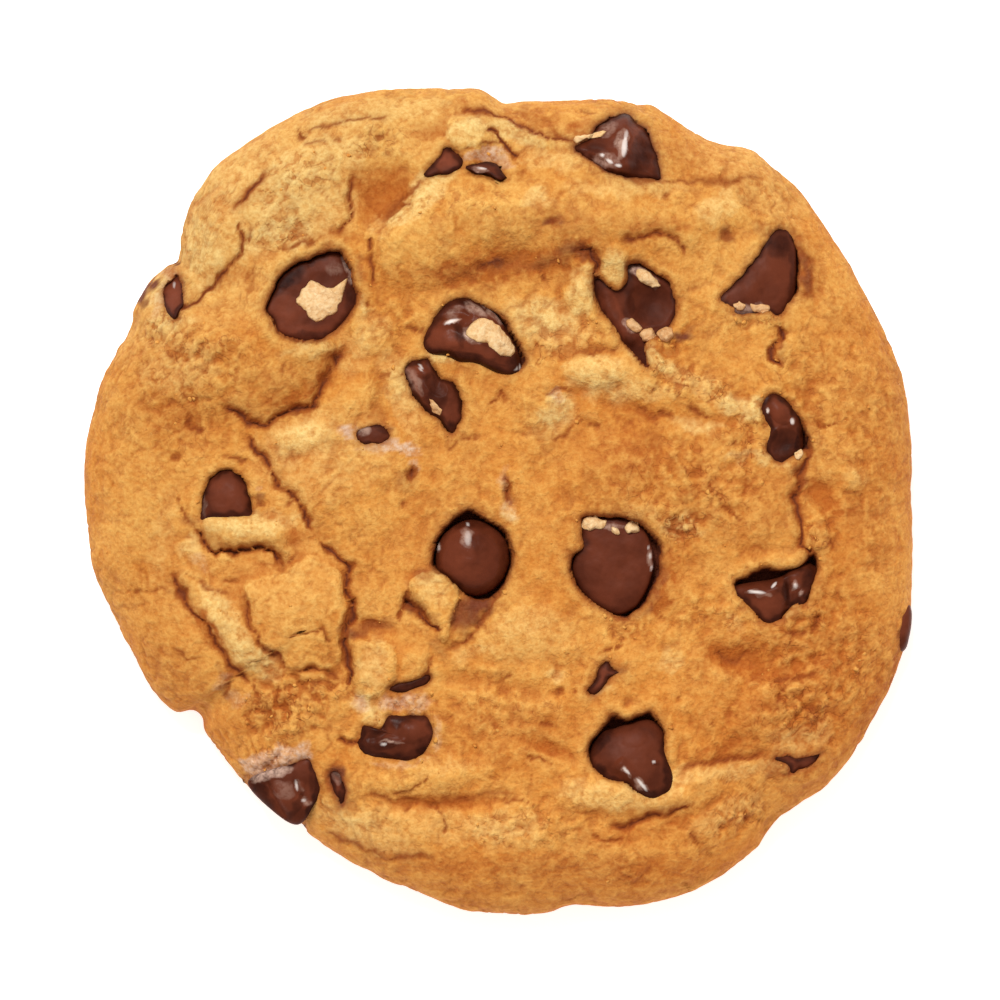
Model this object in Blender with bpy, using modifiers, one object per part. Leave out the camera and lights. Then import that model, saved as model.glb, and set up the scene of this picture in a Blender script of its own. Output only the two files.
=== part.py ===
"""A soft-baked chocolate chip cookie lying flat: one puffed round of dough with an uneven rim, its mounds,
folded edges and creases, and the chocolate chips set into it, each in a socket of its own.

Metres, +Z up. The origin is in the middle of the flat base. +Y is the top of the cookie as it is seen
from above, and +X is its right."""

import math

import bmesh
import bpy
import numpy as np
from mathutils import Vector, noise

MM = 0.001

# Driving dimensions of the dough, in millimetres.
BASE_HEIGHT = 12.6  # top of the plain round, before its mounds
WAIST_HEIGHT = 3.0  # where the side is widest
TUCK = 2.0  # how far the foot of the side draws in under the waist
RIM_FULLNESS = 4.6  # a higher power keeps the top flat further out, with a rounder shoulder
MIDDLE_REACH = 47.0  # rim radius that the side's shape is worked out for
DOUGH_CELLS = 40  # squares across the top
FOOT_RINGS = 2
WAVE_HEIGHT = 0.35  # gentle unevenness of the crust
WAVE_LENGTH = 9.0

# Driving dimensions of the chips, in millimetres.
SMALL_CHIP = 2.0  # chips of a smaller radius than this are turned from fewer segments
CHIP_SEGMENTS = {"small": 8, "large": 12}
CHIP_RINGS = {"small": 3, "large": 4}
CHIP_EDGE = 0.18  # rounding of the base edge, as a share of the radius
SOCKET_GAP = 0.3  # clearance between a chip and the dough round it
SEAT_EDGE = 2.4  # the dough slopes from its own height to the level seat of a chip over this width

# The rim seen from above, counterclockwise from the right. It steps in where one lobe of dough ends on
# another, and where a chip breaks through it.
RIM = [
    (46.9, 1.5), (46.4, 9.0), (45.4, 14.8), (43.1, 20.8), (39.6, 27.5), (34.9, 34.2), (31.1, 37.8),
    (28.7, 39.6), (24.1, 40.8), (20.1, 43.4), (16.6, 44.7), (12.1, 45.6), (6.5, 45.2), (1.5, 45.1),
    (-0.3, 45.9), (-3.5, 46.7), (-11.0, 46.7), (-18.5, 45.7), (-25.0, 42.6), (-32.0, 38.0),
    (-34.8, 34.0), (-36.1, 29.5), (-36.6, 26.5), (-39.3, 23.6), (-40.9, 20.6), (-43.1, 17.0),
    (-45.4, 12.5), (-46.8, 5.0), (-46.8, -1.0), (-45.8, -8.0), (-41.9, -15.8), (-39.1, -21.0),
    (-36.6, -23.7), (-34.6, -23.9), (-33.4, -25.2), (-31.4, -28.3), (-28.4, -32.2), (-24.9, -35.8),
    (-21.6, -37.4), (-18.0, -40.0), (-12.0, -43.0), (-4.5, -45.9), (0.0, -46.7), (5.0, -46.6),
    (8.6, -45.5), (15.0, -45.7), (22.0, -44.0), (28.6, -40.0), (32.0, -36.1), (38.1, -31.6),
    (43.1, -24.0), (45.7, -18.2), (46.6, -11.0), (46.7, -4.0),
]

# Mounds of dough: middle x, middle y, half length, half width, turn in degrees, rise.
MOUNDS = [
    (-5.0, 30.5, 12.0, 7.0, 18, 2.0),  # broad mound above the middle, left end
    (10.0, 32.0, 16.0, 6.5, -4, 2.2),  # and its right end
    (-26.0, 35.5, 20.0, 6.5, 40, 1.5),  # lobe along the upper left rim
    (-30.0, 17.0, 13.0, 8.5, 12, 2.4),  # lobe that folds over above the cracks
    (-42.0, 2.0, 16.0, 5.0, 90, 0.8),  # left rim
    (-38.0, -16.0, 10.0, 5.5, -56, 1.9),  # lower left lobe
    (-31.5, -14.0, 10.0, 3.4, -52, 1.0),  # pale ridge beside it
    (-22.0, -13.5, 7.0, 7.0, 0, 1.3),  # cracked plate
    (20.5, 1.0, 14.0, 10.0, -8, 1.3),  # smooth plate right of the middle
    (17.0, 13.0, 12.0, 4.2, -8, 1.5),  # crumbly ridge above it
    (-16.0, 1.5, 9.0, 8.0, 30, 0.9),  # left of the middle
    (-5.6, -12.6, 4.5, 4.5, 0, 1.2),  # flap below the round chip
    (-28.5, -3.8, 6.0, 3.0, -4, 1.5),  # flap over the left chip
    (-10.4, -23.0, 4.5, 2.4, 8, 1.2),  # skin over the two lower left chips
    (-8.0, -31.3, 9.0, 3.0, 8, 1.0),  # low ridge above the bottom valley
    (15.5, -33.8, 10.0, 3.0, 8, 1.2),  # ridge under the lower chip
    (2.0, -38.5, 20.0, 5.0, 0, 1.0),  # bottom rim
    (33.0, -21.0, 9.0, 6.0, 30, 1.0),  # lower right
    (40.5, 6.0, 20.0, 5.0, 95, 0.9),  # right rim
    (25.0, 36.5, 9.0, 4.5, -28, 0.9),  # upper right rim
    (31.0, 14.5, 6.0, 5.0, 0, 0.8),
]

# Folds: rise to the left of the line as it is followed, reach of that rise, depth of the crease, and the
# points of the line.
FOLDS = [
    (1.5, 6.0, 1.6, [(-30.5, 9.9), (-27.2, 8.8), (-25.0, 10.4), (-21.8, 11.2), (-19.5, 14.0), (-17.6, 17.0)]),
    (0.8, 5.0, 1.3, [(-28.0, 7.0), (-25.6, 1.5), (-21.5, -2.6), (-17.0, -7.0), (-16.2, -12.0), (-16.8, -21.0)]),
    (1.0, 4.0, 1.6, [(-32.6, -22.8), (-30.2, -19.0), (-32.3, -15.4), (-35.0, -12.0), (-37.0, -8.0)]),
    (1.3, 3.0, 1.8, [(-34.0, -3.4), (-32.4, -5.5), (-26.2, -5.7), (-23.8, -8.0)]),
    (0.9, 5.0, 1.3, [(-36.0, 21.0), (-31.4, 25.4), (-29.2, 29.5), (-28.2, 34.0), (-26.0, 37.6)]),
    (0.8, 5.0, 1.5, [(36.2, -7.2), (34.3, -4.0), (33.8, 0.0), (35.0, 5.0)]),
    (0.9, 4.0, 1.2, [(31.0, -28.9), (25.0, -29.6), (20.0, -30.2)]),
    (0.9, 4.0, 1.2, [(14.0, -36.8), (17.5, -35.5), (22.5, -34.4)]),
    (0.8, 4.0, 1.1, [(-15.0, -33.2), (-8.0, -34.8), (-2.0, -34.2), (3.0, -33.2)]),
    (0.6, 3.0, 1.0, [(8.8, 40.9), (4.0, 41.4), (1.2, 43.0), (-1.5, 44.4)]),
    (0.9, 4.0, 1.1, [(22.5, 27.5), (12.0, 28.6), (6.0, 27.6), (-3.0, 24.8), (-13.0, 25.2)]),
    (0.8, 3.0, 1.0, [(8.0, 9.5), (12.5, 8.2), (17.0, 9.4)]),
]
CREASE_WIDTH = 1.9
FOLD_EDGE = 1.6
FADE_LENGTH = 3.0  # folds fade out over this much of each end

# Chips: middle x, y as seen from above, radius, length, bearing of the tip and its tilt up in degrees,
# how far the highest point stands above the dough there, how deep a hollow the chip lies in, and how
# pointed the tip is.
CHIPS = {
    "chip_01": (-21.1, 23.0, 5.4, 6.6, -45, -84, 0.9, 1.3, 1.0),  # base up in a deep hollow
    "chip_02": (-2.3, 17.8, 3.8, 12.0, -31, 12, 1.7, 0.4, 1.0),  # lies on its side, above the middle
    "chip_03": (-7.0, 11.2, 2.6, 9.8, -58, 8, 1.5, 0.6, 0.5),
    "chip_04": (13.4, 39.2, 4.0, 9.4, 192, 12, 2.1, 0.6, 1.0),  # by the top rim
    "chip_05": (15.6, 22.0, 4.9, 6.6, -60, -84, 0.8, 1.3, 1.0),  # base up in a deep hollow
    "chip_06": (30.2, 25.4, 4.5, 9.2, 64, 12, 2.0, 0.8, 0.8),
    "chip_07": (32.8, 7.7, 2.7, 7.6, -80, 8, 1.5, 0.8, 0.5),
    "chip_08": (-2.8, -5.9, 4.8, 5.6, 95, 84, 1.9, 1.5, 0.0),  # round end up
    "chip_09": (13.2, -7.4, 5.2, 6.4, 100, -86, 0.6, 1.0, 1.0),  # base up, nearly level
    "chip_10": (31.4, -10.5, 4.7, 7.0, -98, 16, 2.0, 0.8, 0.6),
    "chip_11": (15.3, -28.9, 4.6, 9.6, -60, 14, 2.2, 0.8, 0.4),
    "chip_12": (-30.6, 0.5, 3.3, 5.8, 90, 12, 1.9, 0.4, 0.2),  # half under a flap
    "chip_13": (-11.4, -27.1, 2.7, 8.4, 184, 6, 1.5, 0.6, 0.5),
    "chip_14": (-23.6, -32.1, 4.5, 6.2, 46, -28, 1.9, 0.0, 0.8),  # breaks through the lower left rim
    "chip_15": (-18.2, -32.2, 1.5, 5.0, -82, 8, 0.9, 0.0, 0.8),
    "chip_16": (-6.5, 38.2, 1.7, 3.8, 204, 8, 1.1, 0.0, 0.8),
    "chip_17": (-1.0, 37.1, 1.3, 4.4, -14, 4, 0.8, 0.0, 0.6),
    "chip_18": (-36.9, 23.0, 1.6, 5.0, -88, 4, 1.1, 0.0, 0.8),  # in the left rim
    "chip_19": (-13.9, 7.3, 1.6, 4.4, 172, 8, 0.9, 0.0, 0.6),
    "chip_20": (11.6, -20.1, 1.4, 4.6, 62, 6, 0.8, 0.0, 0.8),
    "chip_21": (34.1, -29.7, 1.5, 6.2, 8, 0, 0.9, 0.0, 0.8),
    "chip_22": (44.9, -14.3, 2.7, 3.9, 180, 0, 1.3, 0.0, 1.0),  # shows at the right rim
    "chip_23": (-10.1, -21.3, 1.5, 5.0, 14, 4, 0.8, 0.0, 0.6),
}

DOUGH_COLOUR = (0.70, 0.36, 0.095, 1.0)
CHOCOLATE_COLOUR = (0.070, 0.024, 0.016, 1.0)


def smooth_loop(points, steps=8):
    """A closed Catmull-Rom curve through the points, as rows of x, y."""
    p = np.array(points, float)
    before, after, beyond = np.roll(p, 1, 0), np.roll(p, -1, 0), np.roll(p, -2, 0)
    rows = []
    for s in np.arange(steps) / steps:
        rows.append(0.5 * (2 * p + (after - before) * s + (2 * before - 5 * p + 4 * after - beyond) * s**2
                           + (3 * p - before - 3 * after + beyond) * s**3))
    return np.stack(rows, 1).reshape(-1, 2)


def rim_radius(angle):
    """Distance from the middle to the rim along each angle."""
    loop = smooth_loop(RIM)
    turn = np.arctan2(loop[:, 1], loop[:, 0])
    order = np.argsort(turn)
    return np.interp(angle, turn[order], np.hypot(*loop[order].T), period=2 * math.pi)


def shoulder(share):
    """Height of the dome over the waist, from 1 in the middle to 0 at the rim."""
    return np.sqrt(np.clip(1 - np.clip(share, 0, 1) ** RIM_FULLNESS, 0, 1))


def line_distance(x, y, points):
    """Distance to a line of points, positive on its left, and the way along it and its whole length."""
    best = np.full(x.shape, 1e9)
    side, along = np.zeros(x.shape), np.zeros(x.shape)
    walked = 0.0
    for (ax, ay), (bx, by) in zip(points, points[1:]):
        length = math.hypot(bx - ax, by - ay)
        ux, uy = (bx - ax) / length, (by - ay) / length
        t = np.clip((x - ax) * ux + (y - ay) * uy, 0, length)
        gap = np.hypot(x - ax - t * ux, y - ay - t * uy)
        near = gap < best
        best = np.where(near, gap, best)
        side = np.where(near, np.sign(ux * (y - ay) - uy * (x - ax)), side)
        along = np.where(near, walked + t, along)
        walked += length
    return best * side, along, walked


def top_height(x, y):
    """Height of the dough's top, before the rim rounds it down."""
    z = np.full(x.shape, BASE_HEIGHT)
    for cx, cy, length, width, turn, rise in MOUNDS:
        c, s = math.cos(math.radians(turn)), math.sin(math.radians(turn))
        u, v = (x - cx) * c + (y - cy) * s, (y - cy) * c - (x - cx) * s
        z += rise * np.clip(1 - (u / length) ** 2 - (v / width) ** 2, 0, 1) ** 1.5
    for rise, reach, depth, points in FOLDS:
        gap, along, whole = line_distance(x, y, points)
        fade = np.clip(np.minimum(along, whole - along) / FADE_LENGTH, 0, 1)
        raised = 1 / (1 + np.exp(-np.clip(gap / FOLD_EDGE * 4, -30, 30)))
        z += fade * rise * raised * np.exp(-np.abs(gap) / reach)
        z -= fade * depth * np.exp(-(gap / CREASE_WIDTH) ** 2)
    return z


def dough_top(x, y):
    """Height of the top with a level seat let into it round each chip."""
    z = top_height(x, y)
    for cx, cy, radius, length, bearing, tilt, _, hollow, _ in CHIPS.values():
        level = float(top_height(np.array([cx]), np.array([cy]))[0]) - hollow
        half = max(length / 2 * math.cos(math.radians(tilt)) - radius, 0.01)
        tip_x, tip_y = half * math.cos(math.radians(bearing)), half * math.sin(math.radians(bearing))
        gap = line_distance(x, y, [(cx - tip_x, cy - tip_y), (cx + tip_x, cy + tip_y)])[0]
        edge = np.clip((radius + SEAT_EDGE - np.abs(gap)) / SEAT_EDGE, 0, 1)
        z += edge**2 * (3 - 2 * edge) * (level - z)
    return z


def new_object(name, collection, material=None):
    """An empty mesh object in the collection."""
    obj = bpy.data.objects.new(name, bpy.data.meshes.new(name))
    collection.objects.link(obj)
    if material:
        obj.data.materials.append(material)
    return obj


def make_material(name, colour, roughness):
    material = bpy.data.materials.new(name)
    material.use_nodes = True
    shader = material.node_tree.nodes["Principled BSDF"]
    shader.inputs["Base Color"].default_value = colour
    shader.inputs["Roughness"].default_value = roughness
    return material


def make_dough(collection, material):
    """A grid rounded into a disc and raised, with the side drawn down from its edge to a flat base."""
    dough = new_object("dough", collection, material)
    bm = bmesh.new()
    bmesh.ops.create_grid(bm, x_segments=DOUGH_CELLS, y_segments=DOUGH_CELLS, size=1.0)
    edge = [e for e in bm.edges if e.is_boundary]

    grid = np.array([v.co for v in bm.verts])
    dx, dy = grid[:, 0] * np.sqrt(1 - grid[:, 1] ** 2 / 2), grid[:, 1] * np.sqrt(1 - grid[:, 0] ** 2 / 2)
    angle = np.arctan2(dy, dx)
    share = np.linspace(0, 1, 400)
    walked = np.hypot(np.diff(share) * MIDDLE_REACH, np.diff(shoulder(share)) * (BASE_HEIGHT - WAIST_HEIGHT))
    walked = np.concatenate([[0], np.cumsum(walked)])
    reach = np.interp(np.hypot(dx, dy), walked / walked[-1], share)
    radius = rim_radius(angle) * reach
    x, y = radius * np.cos(angle), radius * np.sin(angle)
    top = dough_top(x, y)
    for vert, px, py, pz, up in zip(bm.verts, x, y, top, shoulder(reach)):
        wave = noise.noise(Vector((px, py, 0)) / WAVE_LENGTH) * WAVE_HEIGHT * 2
        vert.co = Vector((px, py, WAIST_HEIGHT + up * (pz + wave - WAIST_HEIGHT))) * MM

    for ring in range(1, FOOT_RINGS + 1):
        lower = bmesh.ops.extrude_edge_only(bm, edges=edge)["geom"]
        edge = [g for g in lower if isinstance(g, bmesh.types.BMEdge)]
        turn = [math.pi / 2 * (ring + step) / FOOT_RINGS for step in (-1, 0)]
        draw_in = TUCK * (math.cos(turn[0]) - math.cos(turn[1]))
        height = WAIST_HEIGHT * (1 - math.sin(turn[1]))
        for vert in [g for g in lower if isinstance(g, bmesh.types.BMVert)]:
            flat = Vector((vert.co.x, vert.co.y, 0))
            vert.co = flat - flat.normalized() * draw_in * MM + Vector((0, 0, height * MM))
    bmesh.ops.contextual_create(bm, geom=edge)
    bmesh.ops.recalc_face_normals(bm, faces=bm.faces)
    bm.to_mesh(dough.data)
    bm.free()
    dough.data.shade_smooth()
    return dough


def chip_profile(radius, length, pointed, grow=0.0):
    """Radius and height of the chip from its tip down to the middle of its base, grown on all sides."""
    rings = CHIP_RINGS["small" if radius < SMALL_CHIP else "large"]
    edge = CHIP_EDGE * radius
    rows = []
    for ring in range(rings + 1):
        up = math.cos(math.pi / 2 * ring / rings) * (1 - edge / length) + edge / length
        rows.append((radius * math.sqrt(1 - (up - edge / length) ** 2) * (1 - 0.34 * pointed * up), up * length))
    rows[0] = (0.0, length)
    widest = rows[-1][0]
    low = math.sin(math.radians(45))
    rows.append((widest - edge * (1 - low), edge * (1 - low)))
    rows.append((widest - edge, 0.0))
    rows.append((0.0, 0.0))
    middle = length * 0.4
    wider, taller = (widest + grow) / widest, (length / 2 + grow) / (length / 2)
    return [(r * wider, middle + (h - middle) * taller) for r, h in rows]


def tip_direction(bearing, tilt):
    b, t = math.radians(bearing), math.radians(tilt)
    return Vector((math.cos(b) * math.cos(t), math.sin(b) * math.cos(t), math.sin(t)))


def chip_place(x, y, radius, length, tip, proud, pointed):
    """Where the middle of the base lies, with the chip's highest point this proud of the dough."""
    share = math.hypot(x, y) / float(rim_radius(math.atan2(y, x)))
    crust = float(dough_top(np.array([x]), np.array([y]))[0])
    surface = WAIST_HEIGHT + float(shoulder(share)) * (crust - WAIST_HEIGHT)
    level = math.hypot(tip.x, tip.y)
    highest = max(h * tip.z + r * level for r, h in chip_profile(radius, length, pointed))
    return Vector((x - tip.x * length / 2, y - tip.y * length / 2, surface + proud - highest))


def make_chip(name, size, collection, material=None, grow=0.0):
    """A turned chip, lying as its row of the table says."""
    x, y, radius, length, bearing, tilt, proud, _, pointed = size
    chip = new_object(name, collection, material)
    bm = bmesh.new()
    verts = [bm.verts.new((r * MM, 0.0, h * MM)) for r, h in chip_profile(radius, length, pointed, grow)]
    for upper, lower in zip(verts, verts[1:]):
        bm.edges.new((upper, lower))
    bm.to_mesh(chip.data)
    bm.free()
    screw = chip.modifiers.new("turn", "SCREW")
    screw.steps = screw.render_steps = CHIP_SEGMENTS["small" if radius < SMALL_CHIP else "large"]
    screw.use_merge_vertices = True
    screw.merge_threshold = 1e-6
    screw.use_smooth_shade = True
    tip = tip_direction(bearing, tilt)
    chip.rotation_mode = "QUATERNION"
    chip.rotation_quaternion = tip.to_track_quat("Z", "Y")
    chip.location = chip_place(x, y, radius, length, tip, proud, pointed) * MM
    return chip


def main():
    for obj in list(bpy.data.objects):
        bpy.data.objects.remove(obj)
    cookie = bpy.data.collections.new("chocolate_chip_cookie")
    cutters = bpy.data.collections.new("cutters")
    for collection in (cookie, cutters):
        bpy.context.scene.collection.children.link(collection)
    baked = make_material("baked_dough", DOUGH_COLOUR, 0.85)
    chocolate = make_material("chocolate", CHOCOLATE_COLOUR, 0.38)

    dough = make_dough(cookie, baked)
    for name, size in CHIPS.items():
        make_chip(name, size, cookie, chocolate)
        socket = make_chip("socket_for_" + name, size, cutters, grow=SOCKET_GAP)
        socket.display_type = "WIRE"
        socket.hide_render = True
        cut = dough.modifiers.new(socket.name, "BOOLEAN")
        cut.operation = "DIFFERENCE"
        cut.solver = "EXACT"
        cut.object = socket


main()
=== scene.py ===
import math

import bmesh
import bpy
import numpy as np
from mathutils import Matrix, Vector, noise
from mathutils.bvhtree import BVHTree


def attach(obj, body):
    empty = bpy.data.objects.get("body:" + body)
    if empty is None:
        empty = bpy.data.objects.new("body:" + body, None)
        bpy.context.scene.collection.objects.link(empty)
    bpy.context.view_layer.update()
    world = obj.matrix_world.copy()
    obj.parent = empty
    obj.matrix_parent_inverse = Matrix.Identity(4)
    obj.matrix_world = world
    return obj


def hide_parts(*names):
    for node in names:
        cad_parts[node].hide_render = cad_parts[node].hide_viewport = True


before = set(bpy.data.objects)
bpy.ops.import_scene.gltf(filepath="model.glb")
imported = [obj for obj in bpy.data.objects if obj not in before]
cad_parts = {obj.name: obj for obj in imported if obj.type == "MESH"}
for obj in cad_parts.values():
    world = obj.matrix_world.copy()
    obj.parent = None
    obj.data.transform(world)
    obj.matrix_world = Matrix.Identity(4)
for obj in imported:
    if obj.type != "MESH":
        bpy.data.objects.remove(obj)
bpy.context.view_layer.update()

# A soft-baked chocolate chip cookie, seen from straight above. Lengths in this script are millimetres
# until a mesh is written, +Y is away from the viewer's lower edge and +X is to the right.
mm = 0.001
scene = bpy.context.scene


def closedCurve(points, steps=5):
    p = np.array(points, float)
    before, after, beyond = np.roll(p, 1, 0), np.roll(p, -1, 0), np.roll(p, -2, 0)
    rows = [0.5 * (2 * p + (after - before) * s + (2 * before - 5 * p + 4 * after - beyond) * s**2
                   + (3 * p - before - 3 * after + beyond) * s**3) for s in np.arange(steps) / steps]
    return np.stack(rows, 1).reshape(-1, 2)


def openCurve(points, steps=3):
    p = np.array(points, float)
    p = np.vstack([2 * p[0] - p[1], p, 2 * p[-1] - p[-2]])
    a, b, c, d = p[:-3], p[1:-2], p[2:-1], p[3:]
    rows = [0.5 * (2 * b + (c - a) * s + (2 * a - 5 * b + 4 * c - d) * s**2
                   + (3 * b - a - 3 * c + d) * s**3) for s in np.arange(steps) / steps]
    return np.vstack([np.stack(rows, 1).reshape(-1, 2), p[-2:-1]])


# signed gap to a line, positive on its left, the way walked along it, its whole length and the nearest point on it
def lineGap(x, y, points):
    gap = np.full(x.shape, 1e9)
    side, along = np.ones(x.shape), np.zeros(x.shape)
    nearX, nearY = np.zeros(x.shape), np.zeros(x.shape)
    walked = 0.0
    for (ax, ay), (bx, by) in zip(points[:-1], points[1:]):
        length = math.hypot(bx - ax, by - ay)
        ux, uy = (bx - ax) / length, (by - ay) / length
        t = np.clip((x - ax) * ux + (y - ay) * uy, 0, length)
        px, py = ax + t * ux, ay + t * uy
        d = np.hypot(x - px, y - py)
        near = d < gap
        gap = np.where(near, d, gap)
        side = np.where(near, np.where(ux * (y - ay) - uy * (x - ax) < 0, -1.0, 1.0), side)
        along = np.where(near, walked + t, along)
        nearX, nearY = np.where(near, px, nearX), np.where(near, py, nearY)
        walked += length
    return gap * side, along, walked, nearX, nearY


# signed gap to a loop, positive inside, and the nearest point on it
def loopGap(x, y, loop):
    gap = np.full(x.shape, 1e9)
    nearX, nearY = np.zeros(x.shape), np.zeros(x.shape)
    inside = np.zeros(x.shape, bool)
    for (ax, ay), (bx, by) in zip(loop, np.roll(loop, -1, 0)):
        ux, uy = bx - ax, by - ay
        t = np.clip(((x - ax) * ux + (y - ay) * uy) / (ux * ux + uy * uy), 0, 1)
        px, py = ax + t * ux, ay + t * uy
        d = np.hypot(x - px, y - py)
        near = d < gap
        gap, nearX, nearY = np.where(near, d, gap), np.where(near, px, nearX), np.where(near, py, nearY)
        if uy:
            inside ^= ((ay > y) != (by > y)) & (x < ux * (y - ay) / uy + ax)
    return np.where(inside, gap, -gap), nearX, nearY


def smooth(v):
    v = np.clip(v, 0, 1)
    return v * v * (3 - 2 * v)


def noiseOf(points, size, shift=0.0):
    return np.array([noise.noise(p) for p in (points / size + shift).tolist()])


# distances to the two nearest points of a scatter of that spacing
def cellsOf(points, size, shift=0.0):
    return np.array([noise.voronoi(p)[0][:2] for p in (points / size + shift).tolist()]).T


# soft oval spot, 1 in its middle
def spot(x, y, cx, cy, halfLength, halfWidth, turn=0.0):
    c, s = math.cos(math.radians(turn)), math.sin(math.radians(turn))
    u, v = (x - cx) * c + (y - cy) * s, (y - cy) * c - (x - cx) * s
    return np.clip(1 - (u / halfLength) ** 2 - (v / halfWidth) ** 2, 0, 1)


dough = {
    "cells": 290,  # squares across the top
    "sideRings": 7,
    "baseRings": 3,
    "domeHeight": 12.2,
    "highest": 14.15,  # nothing of the dough stands above this
    "highestBit": 14.35,  # and nothing that lies on it above this
    "waistHeight": 3.0,  # where the side is widest
    "footTuck": 2.2,  # how far the foot of the side draws in
    "fullness": 4.9,  # a higher power keeps the top level further out
    "middleReach": 47.0,
    "wander": [(0.30, 1.8), (0.15, 0.7)],  # how far the lines of folds and cracks stray, and over what length
    # unevenness of the crust: height and size of each kind of lump
    "swells": [(0.24, 8.0), (0.16, 3.6), (0.12, 1.9), (0.075, 1.0)],
    "foldRise": 0.45,  # share of each fold's rise that its raised side keeps
    "wallWidth": 0.5,  # how steeply the dough drops round a chip
}

# the rim seen from above, counterclockwise from the right
rimLine = [
    (46.9, 0.8), (47.1, 3.6), (46.7, 9.0), (45.6, 14.8), (43.1, 20.8), (39.6, 27.5), (34.9, 34.2), (31.1, 37.8),
    (28.7, 39.6), (24.1, 40.9), (20.1, 43.2), (18.6, 44.0), (17.2, 44.9), (15.4, 44.9), (12.1, 45.5),
    (6.5, 45.2), (3.6, 45.2), (0.9, 45.0), (-0.4, 45.7), (-1.6, 46.5), (-3.5, 46.8), (-11.0, 46.7),
    (-18.5, 45.7), (-22.0, 44.3), (-25.0, 42.6), (-29.0, 40.2), (-32.0, 38.0), (-34.6, 34.2),
    (-36.0, 30.0), (-36.2, 27.1), (-37.4, 26.5), (-39.0, 25.2), (-40.4, 23.6), (-41.2, 21.6), (-41.6, 19.4), (-43.4, 16.7),
    (-45.4, 12.5), (-46.8, 5.0), (-46.8, -1.0), (-45.9, -8.0), (-42.3, -15.8), (-39.6, -21.1),
    (-36.8, -24.0), (-34.7, -23.8), (-33.5, -24.6), (-32.7, -27.0), (-28.6, -32.2), (-24.9, -35.8),
    (-22.2, -36.8), (-21.3, -37.9), (-18.1, -40.2), (-12.1, -43.3), (-4.6, -46.3), (0.0, -47.0), (5.0, -46.9),
    (8.6, -46.0), (15.0, -46.1), (22.2, -44.3), (28.7, -40.1), (32.0, -36.1), (38.1, -31.6),
    (43.1, -24.0), (45.6, -18.4), (46.3, -15.5), (46.5, -13.4), (46.9, -11.0), (47.1, -4.0),
]

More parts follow.
